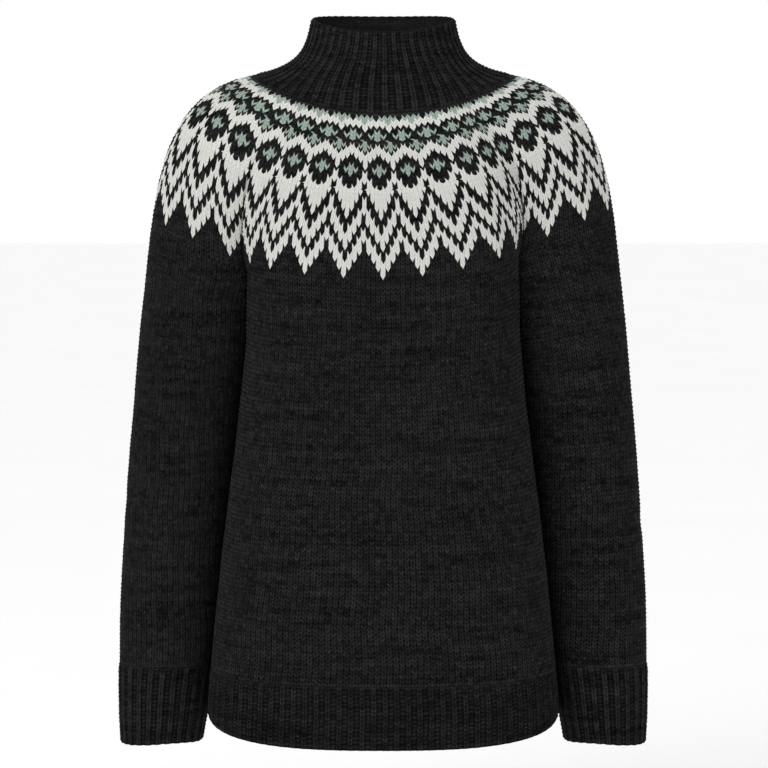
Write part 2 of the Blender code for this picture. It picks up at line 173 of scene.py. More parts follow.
# The knitting: 168 stitches round the body, 56 more over each sleeve, 256 round the yoke's foot.
FRONT_STITCHES = 72
UNDERARM_STITCHES = 12
SLEEVE_OVER_STITCHES = 56
BODY_STITCHES = 2 * (FRONT_STITCHES + UNDERARM_STITCHES)
SLEEVE_STITCHES = SLEEVE_OVER_STITCHES + UNDERARM_STITCHES
WRIST_STITCHES = 48
REPEATS = 32
REPEAT_STITCHES = 8
BODY_ROWS = 94
SLEEVE_ROWS = 104

# Rows between which a sleeve narrows, how near its seam in stitches a vertex joins it, and how
# far the seam sinks into the cloth.
SLEEVE_TAPER_START = 6.0
SLEEVE_TAPER_END = 94.0
SEAM_REACH = 0.13
SEAM_SINK = 0.4

# Places round the yoke's foot where body and sleeve meet, in repeats from the middle front.
FRONT_CORNER = FRONT_STITCHES / 2 / REPEAT_STITCHES
BACK_CORNER = FRONT_CORNER + SLEEVE_OVER_STITCHES / REPEAT_STITCHES

# How late up a tube its rows bend to the join, and its columns are dragged round by the yoke.
BEND_POWER = 2.2
DRAG_POWER = 4

# Ripple of the worn cloth: its size, and the millimetres round a tube for a stitch or a radian.
BODY_RIPPLE = 0.28
SLEEVE_RIPPLE = 0.25
BODY_STITCH_WIDTH = 4.8
SLEEVE_RADIUS = 46.0

# Seeds of the random draws.
RIPPLE_SEED = 11
BODY_SEED = 100
YOKE_SEED = 300
SLEEVE_SEEDS = {"left": 400, "right": 450}
RIB_SEED = 500

# How much the knitting differs: whole rows shift by shares of a row, columns wander by shares
# of a stitch or rib, and the relief of single places differs by shares of itself. Columns
# wander in waves from slowest to fastest, in radians a row, that fade some rows from an edge.
Unevenness = namedtuple("Unevenness", "rows columns relief slowest fastest fade")
PLAIN_UNEVENNESS = Unevenness(0.06, 0.07, 0.7, 0.15, 0.6, 4.0)
RIB_UNEVENNESS = Unevenness(0.05, 0.012, 0.8, 0.1, 0.5, 3.0)

# Ribs are knit one, purl one. Phase is where the first raised rib lies, in ribs, and depth how
# deep they stand once worn, as a share of a fresh rib: the hem is stretched almost flat.
Rib = namedtuple("Rib", "count rows phase depth")
COLLAR_RIB = Rib(48, 23, 0.125, 0.9)
HEM_RIB = Rib(84, 15, 0.167, 0.4)
CUFF_RIB = Rib(24, 19, 0.125, 0.95)

# Bands of the yoke, from the foot up: first row, last row and stitches in a repeat. The rows
# before row 0 are plain.
PLAIN_FOOT_ROWS = 3
Band = namedtuple("Band", "first last stitches")
YOKE_BANDS = (Band(-PLAIN_FOOT_ROWS, 22, 8), Band(22, 36, 6), Band(36, 44, 4))

# Where the yoke's rows lie, as shares of the way up from the join.
YOKE_ROW_MARKS = (-PLAIN_FOOT_ROWS, 0.0, 22.0, 32.0, 36.0, 44.0)
YOKE_ROW_SHARES = (0.0, 0.0686, 0.553, 0.755, 0.829, 1.0)

# How far the worn yoke is twisted from its true place, in repeats, at its foot and up its height.
YOKE_SHIFT_AT = (
    -7.0, -6.0, -5.0, -4.0, -3.0, 1.0, 2.0, 3.0, 4.0, 5.0, 6.0, 7.0, 8.0, 9.0, 10.0, 11.5,
)
YOKE_SHIFT = (
    0.0, -0.15, -0.1, 0.15, 0.0, 0.0, 0.04, 0.12, -0.15, -0.55, -0.55, -0.5, -0.6, -0.5, -0.3, 0.0,
)
YOKE_TWIST = 0.33

# Chart of the foot band: rows where the yarn changes, for a column 0 to 4 stitches from a point.
# It starts dark and goes white, dark, white, dark, white.
ZIGZAG_CHANGES = (
    (0, 4, 7, 11, 15),
    (2, 6, 9, 13, 17),
    (4, 8, 11, 15, 19),
    (6, 10, 13, 17, 21),
    (9, 12, 16, 20, 24),
)

# Charts of the upper bands, one string for each column counted from the point, rows going up.
# D is dark, W white and G pale green.
LOZENGE_CHART = (
    "DDDDGGGDDDWWWD",
    "WDDDDGDDDWWWDD",
    "WWWDDDDDWWWDGD",
    "DDWWWDWWWWDGGG",
)
SPRIG_CHART = (
    "GGGDWWDD",
    "DGDDWWGD",
    "DDDWWGGD",
)

# Each yarn as its shares of white and green.
YARNS = {"D": (0.0, 0.0), "W": (1.0, 0.0), "G": (0.0, 1.0)}

# Charcoal with a middle shade for rims and insides, and with its lightest for ribs' insides, as
# painted light.
PLAIN = (0.0, 0.0, 0.5)
RIB_INSIDE_PAINTED_LIGHT = (0.0, 0.0, 1.0)

# Floats inside the yoke: the chance above which a patch is off-white, and how white it is.
FLOAT_CHANCE = 0.62
FLOAT_WHITE = 0.8

# Relief of one V stitch at four vertex columns: its edge, a leg, its middle, the other leg.
# On is at the stitch's height, off between two stitches. Shares of the stitch's full relief.
LEG_ON = np.array([-0.75, 1.0, -0.25, 1.0])
LEG_OFF = np.array([-0.85, -0.4, -0.6, -0.4])
LEG_SLANT = np.array([0.5, 0.0, -0.5, 0.0])

# How much painted shade the same places get, by how hollow they lie: 0 is on top of a leg and 1
# deep between two stitches.
CAVITY_SHADE_ON = np.array([0.85, 0.0, 0.6, 0.0])
CAVITY_SHADE_OFF = np.array([1.0, 0.75, 0.9, 0.75])
CAVITY_SHADE_CHANCE = 0.3

# At a level line of a seam the painted shade is this deep, and this share of its own depth more.
SEAM_CAVITY_SHADE = 0.38
SEAM_CAVITY_SHADE_SHARE = 0.3

# The same for a rib: one raised knit column and one sunk purl column, at eight vertex columns.
# Raised is how far each stands out of the band, and the cavity shade what it adds to a rib's own
# painted shade.
RIB_RAISED = np.array([0.65, 1.0, 0.85, 1.0, 0.65, 0.2, 0.1, 0.2])
RIB_ON = np.array([-0.4, 0.8, -0.3, 0.8, -0.4, 0.4, 0.6, 0.4])
RIB_OFF = np.array([-0.6, -0.6, -0.8, -0.6, -0.6, -0.4, -0.5, -0.4])
RIB_SLANT = np.array([0.5, 0.0, -0.5, 0.0, 0.5, 0.3, 0.2, 0.3])
RIB_CAVITY_SHADE = np.array([0.15, -0.3, 0.0, -0.3, 0.15, 0.35, 0.1, 0.35])


# How steep the slants of a rib are beside plain knitting's, and how deep its back is hollowed
# in millimetres.
RIB_SLANT_SHARE = 0.9
RIB_BACK_RELIEF = 0.9

# How much ribs differ in height, and how they grow from a seam and from a free edge: the share
# that they have there, and the rows in which they would gain a whole height.
RIB_HEIGHTS = (0.85, 1.1)
RIB_FROM_SEAM = (0.15, 1.5)
RIB_FROM_FREE = (0.7, 2.0)

# Painted shade of ribbing's hollows: its base, how much less it is in deep ribs and on high
# relief, its depth at a seam and how the rest grows from there. Purl stitches get painted shade
# too.
RIB_CAVITY_SHADE_BASE = 0.7
RIB_CAVITY_SHADE_FALL = 0.2
RIB_CAVITY_SHADE_RELIEF = 0.45
RIB_CAVITY_SHADE_AT_SEAM = 0.58
RIB_CAVITY_SHADE_FROM_SEAM = (0.25, 1.5)
PURL_SHADE = 0.7

# A slant grows by this much a row from each kind of end of plain knitting, as if from the rows
# given here.
SLANT_GROWTH = 1.4
SLANT_START = {"seam": 0.0, "band": 0.3, "join": 1.0}

UP = np.array([0.0, 0.0, 1.0])
TO_RIGHT_SIDE = np.array([-1.0, 1.0, 1.0])

# Studio, in metres. The floor lies well below the sweater, which hangs free above it.
FLOOR_HEIGHT = -0.85
FLOOR_SIZE = 60.0
CAMERA_TARGET = np.array([0.0008, 0.0, -0.299])
KEY_PLACE = np.array([-1.5, -2.4, 1.6])
KEY_TARGET = np.array([0.0, 0.0, -0.3])
KEY_SIZE = 1.2

# Settings that several nodes or properties share.
MULTIPLY_ADD = {"operation": "MULTIPLY_ADD"}
RGBA = {"data_type": "RGBA"}
DISTANCE = {"subtype": "DISTANCE", "unit": "LENGTH"}


def linear(colour):
    """An sRGB hex colour as linear red, green and blue."""
    channels = [int(colour[i:i + 2], 16) / 255 for i in (1, 3, 5)]
    return tuple(c / 12.92 if c <= 0.04045 else ((c + 0.055) / 1.055) ** 2.4 for c in channels)


def wrap(value, half):
    """A value brought within half a turn on either side of zero."""
    return (value + half) % (2 * half) - half


def unit(vectors):
    """Vectors of length 1 with the same directions."""
    return vectors / np.maximum(np.linalg.norm(vectors, axis=-1, keepdims=True), 1e-12)


def ease(share):
    """0 to 1, with a level start and end."""
    return 0.5 - 0.5 * np.cos(np.pi * share)


def curve(start, start_way, end, end_way, t):
    """Points on the cubic that leaves the start and reaches the end in the given directions."""
    return (
        start * (2 * t ** 3 - 3 * t ** 2 + 1)
        + start_way * (t ** 3 - 2 * t ** 2 + t)
        + end * (3 * t ** 2 - 2 * t ** 3)
        + end_way * (t ** 3 - t ** 2)
    )


def ring_at(form, height):
    """The ring of a form at any heights, on smooth curves through its table."""
    table = np.array(form)
    heights = table[:, 0]
    last = len(table) - 1
    before = np.maximum(np.arange(last + 1) - 1, 0)
    after = np.minimum(np.arange(last + 1) + 1, last)
    slopes = (table[after] - table[before]) / (heights[after] - heights[before])[:, None]
    height = np.clip(height, heights[-1], heights[0])
    i = np.clip(np.searchsorted(-heights, -height, side="right") - 1, 0, last - 1)
    span = (heights[i + 1] - heights[i])[..., None]
    share = (height - heights[i])[..., None] / span
    values = curve(table[i], slopes[i] * span, table[i + 1], slopes[i + 1] * span, share)
    return type(form[0])(*np.moveaxis(values, -1, 0))


def lengths_along(points):
    """Distance travelled at each point of a path, or of each of many paths."""
    steps = np.linalg.norm(np.diff(points, axis=-2), axis=-1)
    start = np.zeros(steps.shape[:-1] + (1,))
    return np.concatenate([start, np.cumsum(steps, axis=-1)], axis=-1)


def split_evenly(path, steps, start, end):
    """Parameters that split a path into stretches of equal length."""
    fine = np.linspace(start, end, PATH_PLACES)
    lengths = lengths_along(path(fine))
    return np.interp(np.linspace(0.0, lengths[-1], steps + 1), lengths, fine)


def body_point(angle, height):
    """Points on the body's outer face. The angle is 0 at the front and grows towards +X."""
    sine = np.sin(angle)
    cosine = np.cos(angle)
    height = height + 0.0 * angle
    reach = (np.abs(sine) ** BODY_POWER + np.abs(cosine) ** BODY_POWER) ** (-1.0 / BODY_POWER)
    ring = ring_at(BODY_FORM, height)
    x = ring.half_width * reach * sine
    y = ring.centre_y - ring.half_depth * reach * cosine
    return np.stack([x, y, height], axis=-1)


def hem_seam(angle):
    """Height of the seam over the hem rib, which sags in front and behind."""
    return HEM_SEAM - HEM_SEAM_SAG * np.cos(angle) ** 2


def side_share(depth_share):
    """How far out the body's side is at a share of its half depth, as a share of its half width."""
    return (1.0 - np.abs(depth_share) ** BODY_POWER) ** (1.0 / BODY_POWER)


def sleeve_point(angle, height):
    """Points on the left sleeve's outer face. The angle is 0 outside and grows to the front."""
    height = height + 0.0 * angle
    ring = ring_at(SLEEVE_FORM, height)
    body = ring_at(BODY_FORM, height)
    y = ring.centre_y - ring.half_depth * np.sin(angle)
    x = (ring.outer + ring.inner) / 2 + (ring.outer - ring.inner) / 2 * np.cos(angle)
    body_side = body.half_width * side_share((y - body.centre_y) / body.half_depth)
    return np.stack([np.maximum(x, body_side + ring.gap_to_body), y, height], axis=-1)


def fold_depth(tube, angle, height):
    """How far the cloth is pressed in by its folds at places on a tube."""
    depth = 0.0
    for fold in FOLDS:
        if fold.tube == tube:
            turn = wrap(np.degrees(angle) - fold.angle, 180.0)
            across = height - fold.height - fold.rise * turn
            spread = (across / fold.half_width) ** 2 + (turn / fold.half_turn) ** 2
            depth = depth + fold.depth * np.exp(-spread)
    return depth


def ripple(seed, around, along, size):
    """Soft unevenness of worn cloth, from a few crossing waves 50 to 150 mm long."""
    waves = np.random.default_rng(seed)
    total = 0.0
    for _ in range(7):
        length = waves.uniform(50.0, 150.0)
        heading = waves.uniform(0.0, math.tau)
        start = waves.uniform(0.0, math.tau)
        way = (around * math.cos(heading) + along * math.sin(heading)) * math.tau / length
        total = total + np.sin(way + start)
    return size * total / 7 ** 0.5


def body_stitch_table():
    """Stitch columns round the body, with their angle and the height of the join above each."""
    top = BODY_FORM[1]
    corner = UNDERARM_LENGTH / 2 / top.half_depth
    underarm = math.atan2(side_share(corner), corner)
    half = FRONT_STITCHES / 2
    marks = (
        (-half, -underarm),
        (half, underarm),
        (half + UNDERARM_STITCHES, math.pi - underarm),
        (3 * half + UNDERARM_STITCHES, math.pi + underarm),
        (BODY_STITCHES - half, math.tau - underarm),
    )
    columns = [np.array([marks[0][0]])]
    angles = [np.array([marks[0][1]])]
    for (first, start), (last, end) in zip(marks, marks[1:]):
        count = int(last - first) * 4
        split = split_evenly(lambda angle: body_point(angle, top.height), count, start, end)
        angles.append(split[1:])
        columns.append(np.linspace(first, last, count + 1)[1:])
    columns = np.concatenate(columns)

    signed = wrap(columns, BODY_STITCHES / 2)
    is_back = np.abs(signed) > BODY_STITCHES / 4
    from_middle = np.where(is_back, BODY_STITCHES / 2 - np.abs(signed), np.abs(signed))
    risen = np.minimum(1.0, BODY_RISE_SHARE * (from_middle / half)) ** BODY_RISE_POWER
    middle = np.where(is_back, JOIN_BACK, JOIN_FRONT)
    side = np.where(signed > 0, UNDERARM_HEIGHT["left"], UNDERARM_HEIGHT["right"])
    return columns, np.concatenate(angles), middle + (side - middle) * risen


BODY_TABLE = body_stitch_table()


def body_column(column):
    """Angle and join height of body stitch columns. Column 0 is the middle of the front."""
    first = -FRONT_STITCHES / 2
    turns = np.floor((column - first) / BODY_STITCHES)
    within = column - turns * BODY_STITCHES
    columns, angles, heights = BODY_TABLE
    angle = np.interp(within, columns, angles) + turns * math.tau
    return angle, np.interp(within, columns, heights)


def sleeve_stitch_table():
    """Stitch columns from the middle of a sleeve's outside, with their angle on its top ring."""
    top = SLEEVE_FORM[1]
    corner = math.pi - math.asin(UNDERARM_LENGTH / 2 / top.half_depth)
    over = SLEEVE_OVER_STITCHES
    angles = split_evenly(lambda angle: sleeve_point(angle, top.height), over * 4, 0.0, corner)
    under = np.linspace(UNDERARM_LENGTH / 2, 0.0, UNDERARM_STITCHES * 2 + 1)[1:]
    angles = np.concatenate([angles, math.pi - np.arcsin(under / top.half_depth)])
    columns = np.linspace(0.0, over / 2, over * 4 + 1)
    beneath = np.linspace(over / 2, SLEEVE_STITCHES / 2, UNDERARM_STITCHES * 2 + 1)[1:]
    return np.concatenate([columns, beneath]), angles


SLEEVE_TABLE = sleeve_stitch_table()


def sleeve_column(side, column):
    """Angle and join height of sleeve stitch columns. Columns grow from front over to back."""
    wrapped = wrap(column, SLEEVE_STITCHES / 2)
    angle = -np.sign(wrapped) * np.interp(np.abs(wrapped), *SLEEVE_TABLE)
    over = np.clip(1.0 - np.abs(wrapped) / (SLEEVE_OVER_STITCHES / 2), 0.0, 1.0)
    top = SLEEVE_JOIN_TOP[side]
    underarm = UNDERARM_HEIGHT[side]
    return angle, underarm + (top - underarm) * ease(over ** SLEEVE_RISE_POWER)


def yoke_shift(place):
    """How far the worn yoke is shifted round at its foot, in repeats."""
    return np.interp(wrap(place, REPEATS / 2), YOKE_SHIFT_AT, YOKE_SHIFT)


def body_shift(column):
    """How far the yoke drags the top of the body's stitch columns round, in stitches."""
    signed = wrap(column, BODY_STITCHES / 2)
    front = FRONT_STITCHES / 2
    taper = np.clip((front + UNDERARM_STITCHES - np.abs(signed)) / UNDERARM_STITCHES, 0.0, 1.0)
    shift = yoke_shift(np.clip(signed, -front, front) / REPEAT_STITCHES)
    return REPEAT_STITCHES * shift * taper


def sleeve_shift(side, column):
    """The same for a sleeve, whose columns are counted from its outer middle towards the back."""
    sign = 1.0 if side == "left" else -1.0
    over = SLEEVE_OVER_STITCHES / 2
    taper = np.clip((SLEEVE_STITCHES / 2 - np.abs(column)) / (UNDERARM_STITCHES / 2), 0.0, 1.0)
    place = sign * (FRONT_STITCHES / 2 + over + np.clip(column, -over, over)) / REPEAT_STITCHES
    return sign * REPEAT_STITCHES * yoke_shift(place) * taper


def collar_point(edge, angle):
    """Points of one of the collar's edges. The angle is 0 at the front and grows towards +X."""
    middle = (edge.front + 2 * edge.side + edge.back) / 4
    tilt = (edge.front - edge.back) / 2
    dip = (edge.front + edge.back - 2 * edge.side) / 4
    return np.stack([
        edge.half_width * np.sin(angle),
        edge.centre_y - edge.half_depth * np.cos(angle),
        middle + tilt * np.cos(angle) + dip * np.cos(2 * angle),
    ], axis=-1)


def collar_angles(edge, count):
    """Angles of evenly spaced places round one of the collar's edges, from the middle front."""
    return split_evenly(lambda angle: collar_point(edge, angle), count, 0.0, math.tau)[:-1]


def downward(edge, angle, slope):
    """Directions of cloth that runs down and outwards from an edge at slopes in degrees."""
    sideways = edge.half_depth * np.sin(angle)
    level = np.stack([sideways, -edge.half_width * np.cos(angle), 0 * angle], axis=-1)
    steep = np.radians(slope + 0 * angle)[..., None]
    return unit(level) * np.cos(steep) - UP * np.sin(steep)


def base_way(angle):
    """Directions in which cloth runs down from the collar's base."""
    front_share = 0.5 + 0.5 * np.cos(angle)
    middle = SLOPE_FRONT * front_share + SLOPE_BACK * (1.0 - front_share)
    return downward(COLLAR_BASE, angle, middle + (SLOPE_SIDE - middle) * np.sin(angle) ** 2)


class Sweep:
    """A surface swept by one curve at each of many even places round a ring.

    It is read by the turn round the ring, 0 to 1, and the share of the way down each curve.
    """

    def __init__(self, start, start_way, end, end_way):
        fine = np.linspace(0.0, 1.0, SWEEP_PLACES)
        ends = [value[:, None, :] for value in (start, start_way, end, end_way)]
        lengths = lengths_along(curve(*ends, fine[None, :, None]))
        shares = np.linspace(0.0, 1.0, SWEEP_STEPS + 1)
        even = np.array([np.interp(shares * length[-1], length, fine) for length in lengths])
        self.points = curve(*ends, even[:, :, None])

    def __call__(self, turn, share):
        count = len(self.points)
        across = (turn % 1.0) * count
        along = share * SWEEP_STEPS
        i = np.floor(across).astype(int) % count
        k = np.clip(np.floor(along).astype(int), 0, SWEEP_STEPS - 1)
        a = (across - np.floor(across))[..., None]
        b = (along - k)[..., None]
        after = (i + 1) % count
        upper = self.points[i, k] * (1 - a) + self.points[after, k] * a
        lower = self.points[i, k + 1] * (1 - a) + self.points[after, k + 1] * a
        return upper * (1 - b) + lower * b


def collar_sweep():
    """The collar's form, from its rim down to its base."""
    rim = collar_angles(COLLAR_RIM, COLLAR_STEPS)
    base = collar_angles(COLLAR_BASE, COLLAR_STEPS)
    start = collar_point(COLLAR_RIM, rim)
    end = collar_point(COLLAR_BASE, base)
    span = np.linalg.norm(end - start, axis=1, keepdims=True)
    start_way = downward(COLLAR_RIM, rim, SLOPE_RIM) * span * COLLAR_FULLNESS.at_top
    return Sweep(start, start_way, end, base_way(base) * span * COLLAR_FULLNESS.at_end)


def join_point(place):
    """Points where the yoke ends, at places round it in repeats from the middle of the front."""
    place = wrap(place, REPEATS / 2)
    in_front = np.abs(place) <= FRONT_CORNER
    is_behind = np.abs(place) >= BACK_CORNER
    angle, height = body_column(np.where(in_front, place * REPEAT_STITCHES, 0.0))
    points = body_point(angle, height)
    from_back = np.where(place > 0, place - REPEATS / 2, place + REPEATS / 2) * REPEAT_STITCHES
    middle_back = BODY_STITCHES / 2
    angle, height = body_column(np.where(is_behind, from_back + middle_back, middle_back))
    points = np.where(is_behind[:, None], body_point(angle, height), points)
    for side, sign in (("left", 1.0), ("right", -1.0)):
        own = (place * sign > FRONT_CORNER) & (place * sign < BACK_CORNER)
        from_middle = place * sign - (FRONT_CORNER + BACK_CORNER) / 2
        angle, height = sleeve_column(side, np.where(own, from_middle * REPEAT_STITCHES, 0.0))
        ring = sleeve_point(angle, height) * np.array([sign, 1.0, 1.0])
        points = np.where(own[:, None], ring, points)
    return points


def yoke_sweep():
    """The yoke's form, from the collar's base down to the join, with a valley at each corner."""
    place = np.arange(YOKE_STEPS) * REPEATS / YOKE_STEPS
    angle = collar_angles(COLLAR_BASE, YOKE_STEPS)
    start = collar_point(COLLAR_BASE, angle)
    end = join_point(place)
    splay = np.sign(end[:, 0]) * SLEEVE_SPLAY * np.sin(angle) ** 4
    end_way = np.stack([splay, 0 * splay, 0 * splay - 1.0], axis=-1)
    for crease in (FRONT_CORNER, BACK_CORNER, -BACK_CORNER, -FRONT_CORNER):
        foot = join_point(np.array([crease]))[0]
        away = wrap(place - crease, REPEATS / 2)
        share = np.exp(-(away / VALLEY_REPEATS) ** 2)[:, None]
        to_middle = np.array([-np.sign(foot[0]), -np.sign(foot[1]), 0.0])
        end_way = end_way + unit(to_middle) * VALLEY_LEAN * share
    span = np.linalg.norm(end - start, axis=1)
    sideways = np.sin(angle) ** 2
    reach = [
        (span * (front + (side - front) * sideways))[:, None]
        for front, side in zip(YOKE_FRONT_FULLNESS, YOKE_SIDE_FULLNESS)
    ]
    return Sweep(start, base_way(angle) * reach[0], end, unit(end_way) * reach[1])


def closed_ring(numbers):
    """The numbers of a ring's vertices, with the first again at its end."""
    return np.concatenate([numbers, numbers[:, :1]], axis=1)


class Cloth:
    """The vertices and faces of one piece, with each corner's place in the knitting and its yarn.

    Yarn is three numbers: the share of white, the share of pale green, and a chance shade, which
    also holds painted shade on purl columns and painted light inside ribs.
    """

    def __init__(self):
        self.points = []
        self.cavity_shades = []
        self.count = 0
        self.faces = []
        self.places = []
        self.yarns = []

    def add_points(self, grid, cavity_shade=0.6):
        """Adds rows of vertices and gives back their numbers. Their painted shade is 1 deep between
        stitches.
        """
        rows, columns = grid.shape[:2]
        self.cavity_shades.append(np.broadcast_to(cavity_shade, (rows, columns)).ravel())
        numbers = np.arange(self.count, self.count + rows * columns).reshape(rows, columns)
        self.points.append(grid.reshape(-1, 3))
        self.count += rows * columns
        return numbers

    def add_faces(self, corners, places, yarns):
        self.faces.append(corners)
        self.places.append(places)
        self.yarns.append(yarns)

    def add_quads(self, numbers, across, up, yarns, rising=None, inside=False):
        """Quads of a grid whose rows go up and columns to the right, seen from outside.

        A rising column of quads is split along its other diagonal.
        """
        corner_rows = ((0, -1), (0, -1), (1, None), (1, None))
        corner_columns = ((0, -1), (1, None), (1, None), (0, -1))
        corners = []
        places = []
        for row, column in zip(corner_rows, corner_columns):
            corners.append(numbers[slice(*row), slice(*column)])
            u = np.broadcast_to(across[None, slice(*column)], corners[0].shape)
            v = np.broadcast_to(up[slice(*row), None], corners[0].shape)
            places.append(np.stack([u, v], axis=-1))
        corners = np.stack(corners, axis=-1)
        places = np.stack(places, axis=-2)
        if rising is not None:
            corners[:, rising] = np.roll(corners[:, rising], -1, axis=-1)
            places[:, rising] = np.roll(places[:, rising], -1, axis=-2)
        if inside:
            corners = corners[..., ::-1]
            places = places[..., ::-1, :]
        corners = corners.reshape(-1, 4)
        places = places.reshape(-1, 4, 2)
        yarns = np.broadcast_to(yarns, numbers[:-1, :-1].shape + (3,)).reshape(-1, 3)
        repeats = (corners == np.roll(corners, -1, axis=1)).sum(axis=1)
        whole = repeats == 0
        self.add_faces(corners[whole], places[whole], yarns[whole])
        for k in np.flatnonzero(repeats == 1):
            keep = np.flatnonzero(corners[k] != np.roll(corners[k], -1))
            if len(set(corners[k][keep])) == 3:
                self.add_faces(corners[k][keep][None], places[k][keep][None], yarns[k][None])

    def add_inside(self, point_at, across, up, wall, places, yarns=PLAIN, ring=True):
        """The inside of a piece, without relief. Across has one row, or one for each line up."""
        across = across + 0 * up[:, None]
        points, outward = surface(point_at, across, up[:, None] + 0 * across)
        points = points - outward * wall
        numbers = closed_ring(self.add_points(points[:, :-1])) if ring else self.add_points(points)
        self.add_quads(numbers, places, up, yarns, inside=True)
        return numbers

    def zip_lines(self, lower, upper, yarn=PLAIN):
        """Triangles between two lines of vertices that run to the right, seen from outside.

        Yarn is one for all, or one for each step of the lower line.
        """
        lower_at = np.linspace(0.0, 1.0, len(lower))
        upper_at = np.linspace(0.0, 1.0, len(upper))
        lower_last = len(lower) - 1
        upper_last = len(upper) - 1
        i = 0
        k = 0
        corners = []
        steps = []
        while i < lower_last or k < upper_last:
            lower_next = k == upper_last or (i < lower_last and lower_at[i + 1] <= upper_at[k + 1])
            steps.append(min(i, lower_last - 1))
            if lower_next:
                corners.append((lower[i], lower[i + 1], upper[k]))
                i += 1
            else:
                corners.append((lower[i], upper[k + 1], upper[k]))
                k += 1
        yarns = np.broadcast_to(np.array(yarn), (lower_last, 3))[steps]
        whole = [len(set(corner)) == 3 for corner in corners]
        corners = np.array(corners)[whole]
        self.add_faces(corners, np.zeros((len(corners), 3, 2)), yarns[whole])

    def add_used_points(self, grid, cavity_shade, numbers):
        """Adds only the vertices of a grid that are used, and gives back their new numbers."""
        used = np.unique(numbers)
        flat = grid.reshape(-1, 3)
        renumbered = np.zeros(len(flat), dtype=int)
        renumbered[used] = self.add_points(flat[used][None], cavity_shade.ravel()[used][None])[0]
        return renumbered[numbers]

    def make(self, name, material, mirror=False):
        """One mesh object of all faces, smooth, with its knitting map, its yarns and its painted
        shade.
        """
        vertices = np.concatenate(self.points) * MM
        if mirror:
            vertices = vertices * TO_RIGHT_SIDE
        order = -1 if mirror else 1
        faces = [face[::order] for group in self.faces for face in group.tolist()]
        mesh = bpy.data.meshes.new(name)
        mesh.from_pydata(vertices.tolist(), [], faces)
        places = np.concatenate([g[:, ::order].reshape(-1, 2) for g in self.places])
        mesh.uv_layers.new(name="knit").data.foreach_set("uv", places.ravel())
        counts = [group.shape[1] for group in self.faces]
        yarns = [np.repeat(shades, count, axis=0) for shades, count in zip(self.yarns, counts)]
        yarns = np.insert(np.concatenate(yarns), 3, 1.0, axis=1)
        yarn = mesh.color_attributes.new("yarn", "FLOAT_COLOR", "CORNER")
        yarn.data.foreach_set("color", yarns.ravel())
        # Painted shade of the hollows between stitches, which the material reads.
        cavity_shade = mesh.attributes.new("cavity_shade", "FLOAT", "POINT")
        cavity_shade.data.foreach_set("value", np.concatenate(self.cavity_shades))
        mesh.shade_smooth()
        mesh.materials.append(material)
        piece = bpy.data.objects.new(name, mesh)
        bpy.context.scene.collection.objects.link(piece)
        return piece


def surface(point_at, across, up):
    """Points and outward directions of a form at a grid of places on it."""
    points = point_at(across, up)
    right = point_at(across + SURFACE_STEP, up) - point_at(across - SURFACE_STEP, up)
    above = point_at(across, up + SURFACE_STEP) - point_at(across, up - SURFACE_STEP)
    return points, unit(np.cross(right, above))


def even_chance(seed, rows, columns):
    """A chance shade from 0 to 1 for each place of a grid."""
    return np.random.default_rng(seed).random((rows, columns))


def row_faults(seed, lines, size):
    """Small shifts of whole rows, none at the first and last."""
    shifts = np.random.default_rng(seed).uniform(-size, size, lines)
    shifts[0] = 0.0
    shifts[-1] = 0.0
    return shifts


def grown(rows, start=0.0, over=1.0):
    """For lines that lie some rows from an edge, a share that grows from its start there to 1."""
    return np.clip(start + rows / over, 0.0, 1.0)[:, None]


def wander(chance, lines, from_end, kind):
    """How far columns wander to and fro on their way up, from three slow waves."""
    total = 0.0
    for _ in range(3):
        speed = chance.uniform(kind.slowest, kind.fastest)
        total = total + np.sin(lines * speed + chance.uniform(0.0, math.tau))
    return total[:, None] * kind.columns * grown(from_end, 0.0, kind.fade)


def stitch_lines(first, last):
    """Vertex lines, two for each row of stitches."""
    return np.linspace(first, last, int(round((last - first) * 2)) + 1)


def knit_face(point_at, first_column, stitches, first_row, last_row, knit, seed, ends):
    """Vertices of plain knitting's outside, four columns and two rows for each stitch.

    Its first and last line are level at a seam, run on as they are at a join, and lie a quarter
    row short of the next band of the yoke.
    Gives back the points, the painted shade of each, and the columns and lines that they lie on.
    """
    columns = first_column + np.arange(stitches * 4 + 1) / 4.0
    lines = stitch_lines(first_row, last_row)
    lines[0] += 0.25 * (ends[0] == "band")
    lines[-1] -= 0.25 * (ends[1] == "band")
    phase = np.arange(len(columns)) % 4
    is_on = (np.arange(len(lines)) % 2 == 1)[:, None]
    from_end = np.minimum(lines - first_row, last_row - lines)
    above_first = np.maximum(lines - first_row, SLANT_START[ends[0]])
    below_last = np.maximum(last_row - lines, SLANT_START[ends[1]])
    slanted = grown(SLANT_GROWTH * np.minimum(above_first, below_last))
    shifts = row_faults(seed, len(lines), PLAIN_UNEVENNESS.rows * knit.uneven)
    up = (lines + shifts)[:, None] + LEG_SLANT[phase] * knit.slant * slanted
    drift = wander(np.random.default_rng(seed + 1), lines, from_end, PLAIN_UNEVENNESS)
    across = columns + drift * knit.uneven
    chance = even_chance(seed + 2, len(lines), len(columns)) - 0.5
    relief = np.where(is_on, LEG_ON[phase], LEG_OFF[phase])
    relief = relief * (1.0 + chance * PLAIN_UNEVENNESS.relief * knit.uneven)
    # Painted shade, deepest between stitches and between rows.
    cavity_shade = np.where(is_on, CAVITY_SHADE_ON[phase], CAVITY_SHADE_OFF[phase])
    cavity_shade = np.clip(cavity_shade - chance * CAVITY_SHADE_CHANCE, 0.0, 1.0)
    cavity_shade = np.where(slanted < 0.5, SEAM_CAVITY_SHADE + SEAM_CAVITY_SHADE_SHARE * cavity_shade, cavity_shade)
    points, outward = surface(point_at, across, up)
    return points + outward * relief[..., None] * knit.stitch_height / MM, cavity_shade, columns, lines


